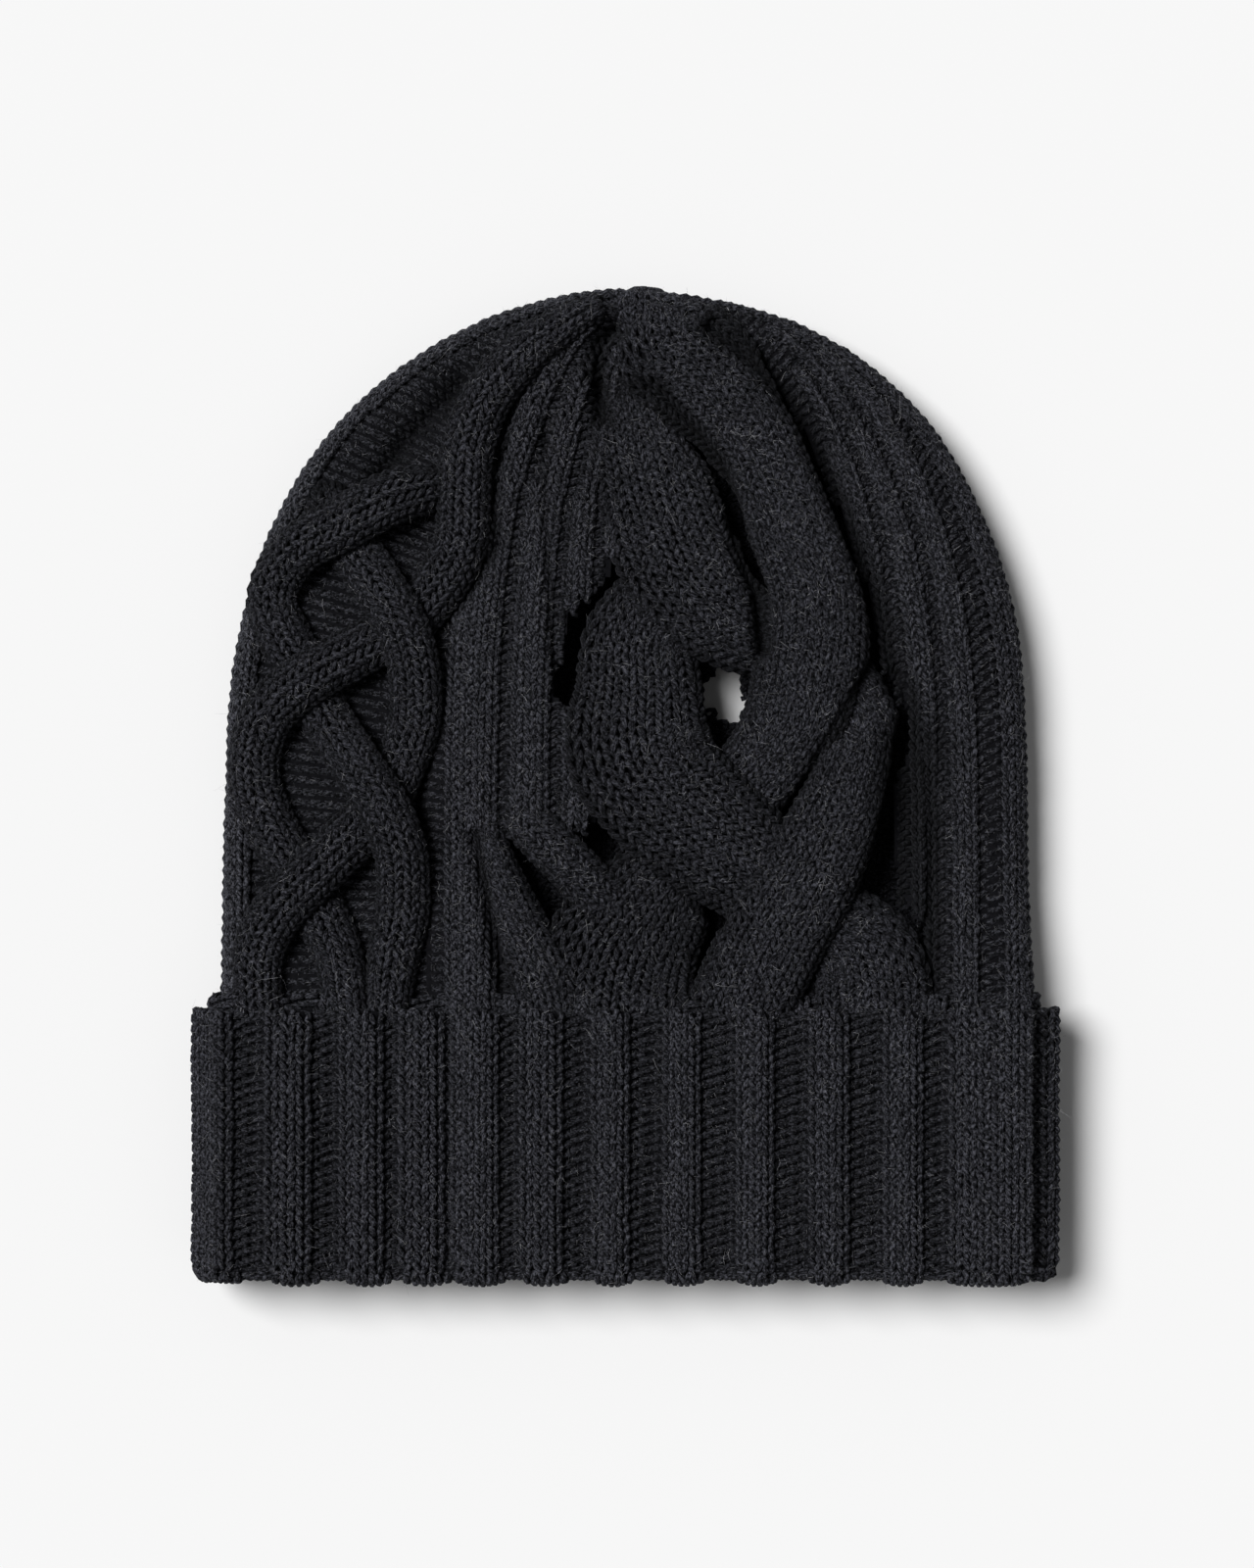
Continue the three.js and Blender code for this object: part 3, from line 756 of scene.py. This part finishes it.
def mottled(name, scale, detail, dark, light, **values):
    """Clumps of two colours, each with its position on the ramp."""
    material, tree, shader = new_material(name, **values)
    noise = noise_in_space(tree, Scale=scale, Detail=detail)
    tree.links.new(colour_ramp(tree, noise, dark, light), shader.inputs["Base Color"])
    return material


RIB = wool("rib_wool", (0.0016, 0.0016, 0.0024), (0.110, 0.112, 0.135))
PLAIN = wool("plain_wool", (0.0015, 0.0015, 0.0023), (0.094, 0.096, 0.117))
CABLE = wool("cable_wool", (0.0015, 0.0015, 0.0023), (0.094, 0.096, 0.117))
GROUND = wool("ground_wool", (0.0014, 0.0014, 0.0022), (0.125, 0.128, 0.152))
# The paler fibres are partly pale lint and partly a painted highlight on the fine fibres.
FIBRES = mottled(
    "loose_fibres", 160.0, 2.0, (0.35, (0.012, 0.012, 0.014)), (0.68, (0.55, 0.55, 0.58)),
    Roughness=0.8, Sheen_Weight=0.4,
)
# Painted shade: a near-black sheet for the shaded wool seen between and behind the loops.
LINING = mottled(
    "shadowed_wool", 700.0, 3.0, (0.0, (0.002, 0.002, 0.0025)), (1.0, (0.012, 0.012, 0.014)),
    Roughness=1.0, Specular_IOR_Level=0.0,
)

# --- loose fibres ---


HAIR_POINTS = 5
STANDING = 0.22  # share of the fibres that stand off the yarn
EXTRA_LONG = 0.05  # and of those that are much longer
LOWEST_FIBRE = 0.05  # none goes under the table


def fuzz(name, body, yarn, share, slot):
    """Fine loose fibres: most hug the yarn, some stand off it. share scales their number."""
    paths = np.concatenate([tube[0] for tube in yarn.tubes])
    count = min(int(len(paths) / STEPS * FIBRES_PER_STITCH * share), MOST_FIBRES)
    facing = np.concatenate([tube[1] for tube in yarn.tubes])
    # The painted shade of each point: fibres mostly start where it leaves the yarn light.
    painted_shade = np.concatenate([tube[3] for tube in yarn.tubes])
    pick = rng.integers(0, len(paths), 4 * count)
    pick = pick[painted_shade[pick] > rng.uniform(0.3, 0.9, len(pick))][:count]
    count = len(pick)
    root, normal = paths[pick], facing[pick]
    stand = np.where(rng.random(count) < STANDING, 1.0, 0.12)[:, None]
    aim = rng.normal(0, 1, (count, 3))
    aim = unit(aim - normal * (aim * normal).sum(axis=1, keepdims=True))
    out = unit(aim + normal * stand * rng.uniform(0.5, 1.6, (count, 1)))
    curl = rng.normal(0, 1, (count, 3))
    length = rng.uniform(1.0, 2.6, count) + (rng.random(count) < EXTRA_LONG) * rng.uniform(1.5, 5.0, count)
    hairs = Yarn(sides=3)
    along = np.linspace(0, 1, HAIR_POINTS)[None, :, None]
    size = length[:, None, None]
    start = root + normal * YARN * rng.uniform(0.75, 1.15, (count, 1)) + aim * rng.normal(0, 0.5, (count, 1))
    line = (
        start[:, None] + out[:, None] * size * (along - 0.3)
        + curl[:, None] * size * (0.16 * along**2 + 0.05 * np.sin(along * 5))
        - normal[:, None] * size * 0.25 * along**2 * (stand[:, None] < 0.5)
    )
    line[..., 2] = np.maximum(line[..., 2], LOWEST_FIBRE)
    side = np.cross(out, curl)
    thick = rng.uniform(0.018, 0.034, count)
    for k in range(count):
        hairs.add(line[k], np.broadcast_to(side[k], (HAIR_POINTS, 3)), thick[k] * (1 - 0.6 * along[0, :, 0]))
    add_object(name, hairs.mesh(name), FIBRES, body, slot)


def add_piece(name, body, slot, material, yarn, lining, fibres, *nodes):
    """One knitted piece: its loops, the lining behind them, near black with painted shade, and its share of
    loose fibres.
    """
    add_object(name + "_knit", yarn.mesh(name + "_knit"), material, body, slot, *nodes)
    add_object(name + "_lining", lining, LINING, body, slot)
    if fibres:
        fuzz(name + "_fibres", body, yarn, fibres, slot)


# --- the hat above the cuff ---

front = body_surface(1)
back = body_surface(-1)
BODY_ROWS = round(front.length / ROW)

front_pattern = "KKK" + "P" * 15 + "KKKKPKKKPKKPKK" + "K" * 13 + "PPPPPPKKPKKPKKPPKKK"
front_kinds = rib_kinds(front_pattern)
front_lifts = rib_lifts(front_kinds, 0.3, -1.7)
front_columns = CrownColumns(front, BODY_ROWS, front_kinds, front_lifts)
back_pattern = ("KKKPP" * 13)[: len(front_pattern)]
back_kinds = rib_kinds(back_pattern)
back_columns = CrownColumns(back, BODY_ROWS, back_kinds, rib_lifts(back_kinds, -0.35, -1.3))


def area(test):
    """Picks the points above the cuff that pass a test of x and y."""
    return lambda place: test(place[..., 0], place[..., 1]) & (place[..., 1] > PANEL_START_Y)


def back_area(margin):
    wide, tall = OPENING_HALF[0] + margin, OPENING_HALF[1] + margin
    return area(lambda x, y: ((x - OPENING[0]) / wide) ** 2 + ((y - OPENING[1]) / tall) ** 2 > 1)


left_ground = area(lambda x, y: x < ground_edge(y))
left_rib = area(lambda x, y: (x >= ground_edge(y)) & (x < rib_edge(y) + rib_reach(y)))
right_rib = area(lambda x, y: x > right_edge(y) - right_reach(y))
above_cuff = area(lambda x, y: True)

# The purl ground lies lower, but its edge still meets the back's.
sunk_grid = front.grid.copy()
sunk_grid[..., 2] -= 0.6 * GROUND_DROP * smooth((inset(sunk_grid[..., 0], sunk_grid[..., 1]) - 3) / 8)
sunk_ground = Surface(sunk_grid)
panels = [
    ("left_ground", sunk_ground, left_ground, GROUND, "ground_wool", 0.5, "left_cable_ground"),
    ("left_rib", front, left_rib, RIB, "rib_wool", 1.0, "left_rib_panel"),
    ("right_rib", front, right_rib, RIB, "rib_wool", 1.0, "right_rib_panel"),
]
for name, surface, keep, material, slot, fibres, replaced in panels:
    yarn = Yarn()
    knit(yarn, surface, BODY_ROWS, front_columns, keep, creased=True)
    lining = shell_mesh(name, surface, keep, lift=-1.2, creased=True)
    add_piece(name, "hat", slot, material, yarn, lining, fibres, replaced)

thirds = (("back_knit_low", 0, BODY_ROWS // 3), ("back_knit_middle", BODY_ROWS // 3, 2 * BODY_ROWS // 3),
          ("back_knit_high", 2 * BODY_ROWS // 3, BODY_ROWS))
for name, first, last in thirds:
    yarn = Yarn(sides=5)
    knit(yarn, back, BODY_ROWS, back_columns, back_area(-0.4), first, last)
    nodes = ("back_panel",) if first == 0 else ()
    add_object(name, yarn.mesh(name), RIB, "hat", "rib_wool", *nodes)
    fuzz(name.replace("knit", "fibres"), "hat", yarn, 0.5, "rib_wool")
add_object("back_lining", shell_mesh("back", back, back_area(1.2), lift=-0.1), LINING, "hat", "rib_wool")

# --- inside: the seam and the gathering yarn ---


def inside_back(y):
    """Height of the back's inner face along the hat's middle."""
    return np.where(y < CUFF_TOP_Y + 0.6, CUFF_HALF - HOLLOW_HALF, middle_z(y) - inner_rise(0 * y, y))


SEAM_ENDS = (-121.5, 103)
SEAM_HALF_WIDTH = 1.5
SEAM_RISE = 1.1
seam_y = np.linspace(*SEAM_ENDS, 150)
seam_grid = np.zeros((len(seam_y), 5, 3))
seam_grid[..., 0] = np.linspace(-SEAM_HALF_WIDTH, SEAM_HALF_WIDTH, 5)
seam_grid[..., 1] = seam_y[:, None]
seam_grid[..., 2] = (inside_back(seam_y) + SEAM_RISE)[:, None]
seam = Surface(seam_grid)
yarn = Yarn()
knit(yarn, seam, round(seam.length / ROW), Columns([1], [1], [0]), everywhere, radius=0.6, wander=0)
add_object("back_seam_knit", yarn.mesh("back_seam_knit"), CABLE, "hat", "cable_wool", "back_seam")

# Two plies wound round each other, drawn up into a ring.
GATHER_RADIUS, GATHER_Y = 3.2, 109.5
PLY, PLY_OUT, PLY_WINDS = 0.48, 0.42, 9  # a ply's radius, its distance from the yarn's middle, its turns
yarn = Yarn()
turn = np.linspace(0, 2 * math.pi, 97)
for half in (0, math.pi):
    wind = PLY_WINDS * turn + half
    out = GATHER_RADIUS + PLY_OUT * np.cos(wind)
    place = np.stack([np.cos(turn) * out, PLY_OUT * np.sin(wind), np.sin(turn) * out], axis=1)
    facing = np.stack([np.cos(turn), 0 * turn, np.sin(turn)], axis=1)
    yarn.add(place + [float(centre_x(CROWN_Y)), GATHER_Y, BODY_HALF], facing, PLY)
add_object("gather_yarn_plies", yarn.mesh("gather_yarn_plies"), CABLE, "hat", "cable_wool", "gather_yarn")

# --- the plait and the braid ---

# Stations along each strand and band: x, y, width, and the lift from what it rests on.
ROPE_WALE = 3.3
HIGH = 4.6
UNDER = -0.7
OVER = 3.9


def strand_rest(x, y):
    return ground_top(x, y) + 1.5


def band_rest(x, y):
    return front_top(x, y) - 2.3


plait = {
    "plait_strand_outer": [
        (-6, 122, 5, -1), (-15, 117, 8, 0), (-26, 109, 10, 0.8), (-35, 98, 11, 1.2), (-40, 85, 11.5, 0.8),
        (-41, 72, 11.5, 0.3), (-42, 60, 11.5, 0), (-48.5, 48.5, 11.5, 0), (-57, 40, 11.5, 0),
        (-68, 33.5, 11.5, 2.6), (-79, 27.5, 11.5, HIGH), (-89.5, 19, 11.5, 3), (-94, 9, 11.5, 0.2),
        (-94, -1, 11.5, 0.2), (-89.5, -12, 11.5, 0), (-83, -23, 11.5, 0), (-77, -34, 11.5, 0.3),
        (-72.5, -45, 10.5, 0), (-70, -60, 9.5, 0),
    ],
    "plait_strand_middle": [
        (-77, 77, 8, -4), (-75.5, 70, 10.5, -0.8), (-70, 61, 11.5, 0), (-63, 51, 11.5, 2.8),
        (-57, 41, 11.5, HIGH), (-53.5, 29, 11.5, 3), (-53.5, 16, 11.5, 0.6), (-57.5, 4, 11.5, 0),
        (-61, -3, 11.5, 0), (-69, -13, 11.5, 1.6), (-80, -24, 11.5, HIGH), (-89, -34, 11.5, 3),
        (-93.5, -45, 11.5, 0.2), (-93, -60, 11.5, 0.2),
    ],
    "plait_strand_inner": [
        (-46, 76, 8, -2.5), (-52, 74.5, 10.5, 1), (-60, 72, 11.5, HIGH),
        (-72, 65.5, 11.5, HIGH), (-84, 58.5, 11.5, 3), (-90, 48, 11.5, 0.2), (-87, 38, 11.5, 0),
        (-81, 28, 11.5, 0), (-76, 17, 11.5, 0.8),
        (-68, 5, 11.5, HIGH), (-60.5, -7, 11.5, HIGH), (-56.5, -19, 11.5, 3),
        (-56.5, -33, 11.5, 0.4), (-59, -45, 11, 0), (-60.5, -60, 9.5, 0),
    ],
}
braid = {
    "braid_band_outer": [
        (2.5, 110, 14, -3.5), (1.5, 102, 18, -2), (3, 94, 22, -0.4), (5, 86, 26, 0), (8.5, 75, 31, 0.4),
        (13.5, 61, 33, 1.6), (19.5, 50, 31, 2.6), (29, 41, 24, 1.6), (40, 35, 17, UNDER),
        (50, 30, 17, UNDER), (57.5, 21.5, 19, UNDER), (61.3, 11, 20, 1), (58, 0.5, 22, OVER),
        (52, -12, 24, OVER), (45, -26, 25, OVER), (36.5, -41, 25, OVER), (28, -60, 24, 2),
    ],
    "braid_band_right": [
        (9, 122, 9, -0.6), (10, 113.5, 29, 1.2), (21, 103, 31, 2.4), (31, 91, 28, 2.8),
        (38.5, 76, 26, 3), (44.5, 61, 26, 3.4), (48.5, 45, 26.5, OVER), (47, 29, 27, OVER),
        (42.5, 15, 24, OVER), (35, 4, 21, 1), (24.5, -7, 20, UNDER), (15.5, -19.5, 22, UNDER),
        (6.2, -32, 31, UNDER), (-1.5, -45, 39, -0.3), (-4, -60, 40, -0.3),
    ],
    "braid_band_left": [
        (14, 52, 20, UNDER), (8.5, 45, 23, UNDER), (3.5, 36, 27, 0.4), (3.5, 24, 31, 1.8),
        (3.5, 10, 36, OVER), (9, -0.5, 34, OVER), (19, -10, 32, OVER), (29, -18.5, 29, 2.8),
        (39, -27, 24, UNDER), (51, -35, 22, UNDER), (61, -45, 28, 0), (63, -60, 31, 0),
    ],
    "side_strip": [
        (-38, -2, 8, -3.5), (-36.5, -9, 8.5, -1), (-34.5, -17, 9, 0.3), (-30.5, -29, 12, 0.6),
        (-21, -50, 15, 0.4), (-19, -60, 15, 0.4),
    ],
    "narrow_strand": [
        (-29.5, -4, 8, -3), (-25, -9.8, 10, 0.6), (-19, -15.5, 10.5, 2.2), (-13, -21.5, 10.5, 2.2),
        (-6.5, -28, 10, 0.8), (-2, -32, 9, -2),
    ],
}


class TaperColumns:
    """Wales of a band; the outermost ones are dropped where the band narrows."""

    def __init__(self, widths, rows):
        self.counts = []
        for r in range(rows):
            width = float(np.interp((r + 0.5) / rows, np.linspace(0, 1, len(widths)), widths))
            self.counts.append(max(3, round(width / ROPE_WALE)))
        # A steady number: a wale less than usual isn't worth a change.
        steady = max(set(self.counts), key=self.counts.count)
        self.counts = [count if count < steady - 1 else steady for count in self.counts]

    def row(self, r):
        count = self.counts[r]
        edges = np.linspace(0, 1, count + 1)
        return (edges[:-1] + edges[1:]) / 2, np.diff(edges), np.ones(count), np.zeros(count)


CREASED = ("braid_band_outer", "braid_band_right", "side_strip")


def make_rope(name, stations, rest, profile, material, slot):
    surface = rope_surface(stations, rest, profile)
    rows = round(surface.length / ROW)
    widths = [surface.width(v) for v in np.linspace(0, 1, 60)]
    # The wales follow the width's average over a quarter of the length.
    widths = np.convolve(np.pad(widths, 7, mode="edge"), np.ones(15) / 15, "valid")
    yarn = Yarn()
    knit(yarn, surface, rows, TaperColumns(widths, rows), above_cuff, wander=0.25, creased=name in CREASED)
    nodes = (name,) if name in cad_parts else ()
    lining = shell_mesh(name, surface, above_cuff, lift=-1.0, creased=name in CREASED)
    add_piece(name, "hat", slot, material, yarn, lining, 1.0, *nodes)


for name, stations in plait.items():
    make_rope(name, stations, strand_rest, rope_profile, CABLE, "cable_wool")
for name, stations in braid.items():
    if name == "narrow_strand":
        make_rope(name, stations, band_rest, rope_profile, CABLE, "cable_wool")
    else:
        make_rope(name, stations, band_rest, flat_profile, PLAIN, "plain_wool")

# --- crown ---


def bun_surface():
    """The gathered tip: an oval, from under its front edge over the top."""
    half = np.array([8.6, 5.2, 6.4])
    middle = np.array([centre_x(CROWN_Y), CROWN_Y - 6, BODY_HALF])
    u = np.linspace(-math.pi, math.pi, 61)[None, :]
    v = np.linspace(-1.2, 1.45, 40)[:, None]
    x = np.cos(v) * np.sin(u)
    z = np.cos(v) * np.cos(u)
    y = np.sin(v) * np.ones_like(u)
    return Surface(np.stack([x, y, z], axis=2) * half + middle)


bun = bun_surface()
yarn = Yarn()
knit(yarn, bun, 5, Columns(np.ones(15), np.ones(15), np.zeros(15)), everywhere, wander=0.1)
lining = shell_mesh("crown_gather", bun, everywhere, lift=-1.0)
add_piece("crown_gather", "hat", "plain_wool", PLAIN, yarn, lining, 1.0, "crown_gather")

# --- cuff ---

RING = 4 * CORNER_X + 2 * math.pi * CUFF_MID
# Knit ribs and purl valleys across the front, by width from the left.
front_ribs = [
    ("P", 8.0), ("K", 11.8), ("P", 7.0), ("K", 11.0), ("P", 3.7), ("K", 11.6), ("P", 1.4), ("K", 12.0),
    ("P", 5.2), ("K", 10.8), ("P", 7.2), ("K", 9.4), ("P", 8.5), ("K", 9.3), ("P", 9.0), ("K", 9.3),
    ("P", 8.8), ("K", 10.0), ("P", 8.6), ("K", 9.8), ("P", 6.5), ("K", 20.8), ("P", 3.0),
]
FIRST_RIB = -97.1
BACK_RIB = 18.0  # a knit rib and a valley behind
FRONT_PROUD, BACK_PROUD, VALLEY = 1.1, 0.3, -2.1  # how far ribs and valleys stand from the middle
RIB_ROUNDING = 0.8


def ring_columns():
    """Every wale round the ring, from the first front valley: place, width, kind, depth."""
    spans = list(front_ribs)
    left = RING - sum(width for _, width in spans)
    count = round(left / BACK_RIB)
    share = left / (count * 5)
    for _ in range(count):
        spans += [("K", share * 3), ("P", share * 2)]
    spans[-1] = ("K", spans[-1][1])
    front_count = sum(max(1, round(width / WALE)) for _, width in front_ribs)
    widths, kinds, lifts = [], [], []
    for mark, width in spans:
        n = max(1, round(width / WALE))
        for k in range(n):
            widths.append(width / n)
            kinds.append(1 if mark == "K" else -1)
            edge_stitch = n > 1 and k in (0, n - 1)
            proud = FRONT_PROUD if len(widths) <= front_count else BACK_PROUD
            lifts.append(proud - RIB_ROUNDING * edge_stitch if mark == "K" else VALLEY)
    edges = FIRST_RIB + np.concatenate([[0], np.cumsum(widths)])
    return (edges[:-1] + edges[1:]) / 2, np.array(widths), np.array(kinds, float), np.array(lifts)


ring = ring_columns()
turn_step = math.pi / 8 * CUFF_MID
facets = {"cuff_front": (-CORNER_X - turn_step, CORNER_X + turn_step)}
for part, k in (("upper", 0), ("side", 1), ("lower", 2)):
    low = CORNER_X + turn_step + 2 * k * turn_step
    facets["cuff_right_" + part] = (low, low + 2 * turn_step)
    facets["cuff_left_" + part] = (-low - 2 * turn_step, -low)
low = CORNER_X + 7 * turn_step
facets["cuff_back"] = (low, RING - low)
CUFF_ROWS = 26
CUFF_ROOT_Y = -123.3  # where the cuff leaves the fold
BAND_ROOT_Y = -122.6  # and the inner band
FOLD_DEEP = 0.9
YARN_OVERRUN, LINING_OVERRUN = 0.15, 0.3  # past a facet's corners, to close them


def facet_columns(start, stop, invert=1, relief=1):
    """The wales whose middle lies on this part of the ring, and where they start and end."""
    centres, widths, kinds, lifts = ring
    place = (centres - start) % RING + start
    order = np.argsort(place)
    chosen = [i for i in order if start <= place[i] < stop]
    low = place[chosen[0]] - widths[chosen[0]] / 2
    high = place[chosen[-1]] + widths[chosen[-1]] / 2
    return Columns(widths[chosen], kinds[chosen] * invert, lifts[chosen] * invert * relief), low, high


def facet_surface(start, stop, path, extra):
    """A flat facet of the ring over a path of (y, distance out) pairs, longer by extra at each end."""
    straight = CORNER_X if stop - start > 2 * CORNER_X else 0
    half = CUFF_MID * math.tan(math.pi / 8) + straight + extra
    middle = ((start + stop) / 2 + RING / 2) % RING - RING / 2
    turn = math.copysign(min(max((abs(middle) - CORNER_X) / CUFF_MID, 0), math.pi), middle)
    along = np.array([math.cos(turn), 0, -math.sin(turn)])
    path = even(np.array(path, dtype=float), 60)
    offset = np.linspace(-half, half, max(12, int(2 * half / GRID)))
    grid = np.zeros((len(path), len(offset), 3))
    for j, (y, out) in enumerate(path):
        grid[j] = ring_point(middle, out) + offset[:, None] * along
        grid[j, :, 1] = y
    return Surface(grid)


cuff_path = [(CUFF_ROOT_Y, CUFF_MID), (CUFF_TOP_Y - 1.4, CUFF_MID), (CUFF_TOP_Y - 0.6, CUFF_MID - 0.4)]
for name, (start, stop) in facets.items():
    columns, _, _ = facet_columns(start, stop)
    yarn = Yarn(sides=5 if name in ("cuff_front", "cuff_back") else SIDES)
    surface = facet_surface(start, stop, cuff_path, YARN_OVERRUN)
    knit(yarn, surface, CUFF_ROWS, columns, everywhere, wander=0.3, both_sides=True)
    behind = facet_surface(start, stop, cuff_path, LINING_OVERRUN)
    lining = shell_mesh(name, behind, everywhere, lift=-0.15, thick=0.2, step=1.1, columns_of=columns)
    add_piece(name, name, "rib_wool", RIB, yarn, lining, 0.5 if name == "cuff_back" else 1.0, name)

# The fold at the mouth, and the inner band behind the cuff. Their ribs are half as deep.
fold_path = [(CUFF_ROOT_Y, CUFF_MID)]
for angle in np.linspace(0, math.pi, 13):
    out = (CUFF_MID + BAND_MID) / 2 + (CUFF_MID - BAND_MID) / 2 * math.cos(angle)
    fold_path.append((FOLD_Y - FOLD_DEEP * math.sin(angle), out))
fold_path.append((BAND_ROOT_Y, BAND_MID))
fold_parts = {
    "fold_front": (-CORNER_X, CORNER_X), "fold_right": (CORNER_X, RING / 2 - CORNER_X),
    "fold_back": (RING / 2 - CORNER_X, RING / 2 + CORNER_X), "fold_left": (-RING / 2 + CORNER_X, -CORNER_X),
}
for name, (start, stop) in fold_parts.items():
    columns, low, high = facet_columns(start, stop, relief=0.5)
    surface = ring_surface(low, high, fold_path[::-1])
    yarn = Yarn()
    knit(yarn, surface, 4, columns, everywhere, wander=0.1)
    lining = shell_mesh(name, surface, everywhere, lift=-0.8, thick=0.3, step=1.0)
    add_piece(name, "hat", "rib_wool", RIB, yarn, lining, 0.5, name)

band_path = [(BAND_ROOT_Y, BAND_MID), (CUFF_TOP_Y + 3, BAND_MID)]
# The lining runs on inside the panels, so that no light comes in above the band.
behind_band = [(BAND_ROOT_Y, BAND_MID), (CUFF_TOP_Y, BAND_MID), (CUFF_TOP_Y + 8, BAND_MID - 5)]
for name, start in (("inner_band_front", -RING / 4), ("inner_band_back", RING / 4)):
    stop = start + RING / 2
    columns, low, high = facet_columns(start, stop, invert=-1, relief=0.5)
    yarn = Yarn(sides=4)
    knit(yarn, ring_surface(low, high, band_path), CUFF_ROWS, columns, everywhere, wander=0.1)
    lining = shell_mesh(name, ring_surface(low, high, behind_band), everywhere, lift=0.0)
    add_piece(name, "hat", "rib_wool", RIB, yarn, lining, 0, name)

# --- floor, light, camera ---

floor_mesh = bpy.data.meshes.new("floor")
floor_mesh.from_pydata([(-4, -4, 0), (4, -4, 0), (4, 4, 0), (-4, 4, 0)], [], [(0, 1, 2, 3)])
floor = new_object("floor", floor_mesh)
floor.location.z = -0.0002
paper, _, _ = new_material("paper", Base_Color=(0.93, 0.93, 0.93, 1), Roughness=1.0, Specular_IOR_Level=0.0)
floor_mesh.materials.append(paper)

world = bpy.data.worlds.new("studio")
bpy.context.scene.world = world
world.use_nodes = True
world.node_tree.nodes["Background"].inputs["Color"].default_value = (1, 1, 1, 1)
world.node_tree.nodes["Background"].inputs["Strength"].default_value = 0.14

key = bpy.data.lights.new("key", "SUN")
key.energy = 3.3
key.angle = math.radians(30)
new_object("key", key).rotation_euler = Vector((0.50, -0.27, -0.82)).to_track_quat("-Z", "Y").to_euler()

camera_data = bpy.data.cameras.new("camera")
camera_data.lens = 85
camera_data.sensor_width = 36
camera = new_object("camera", camera_data)
camera.location = (0.0006, -0.0001, 0.959)
bpy.context.scene.camera = camera
bpy.context.scene.view_settings.view_transform = "Standard"
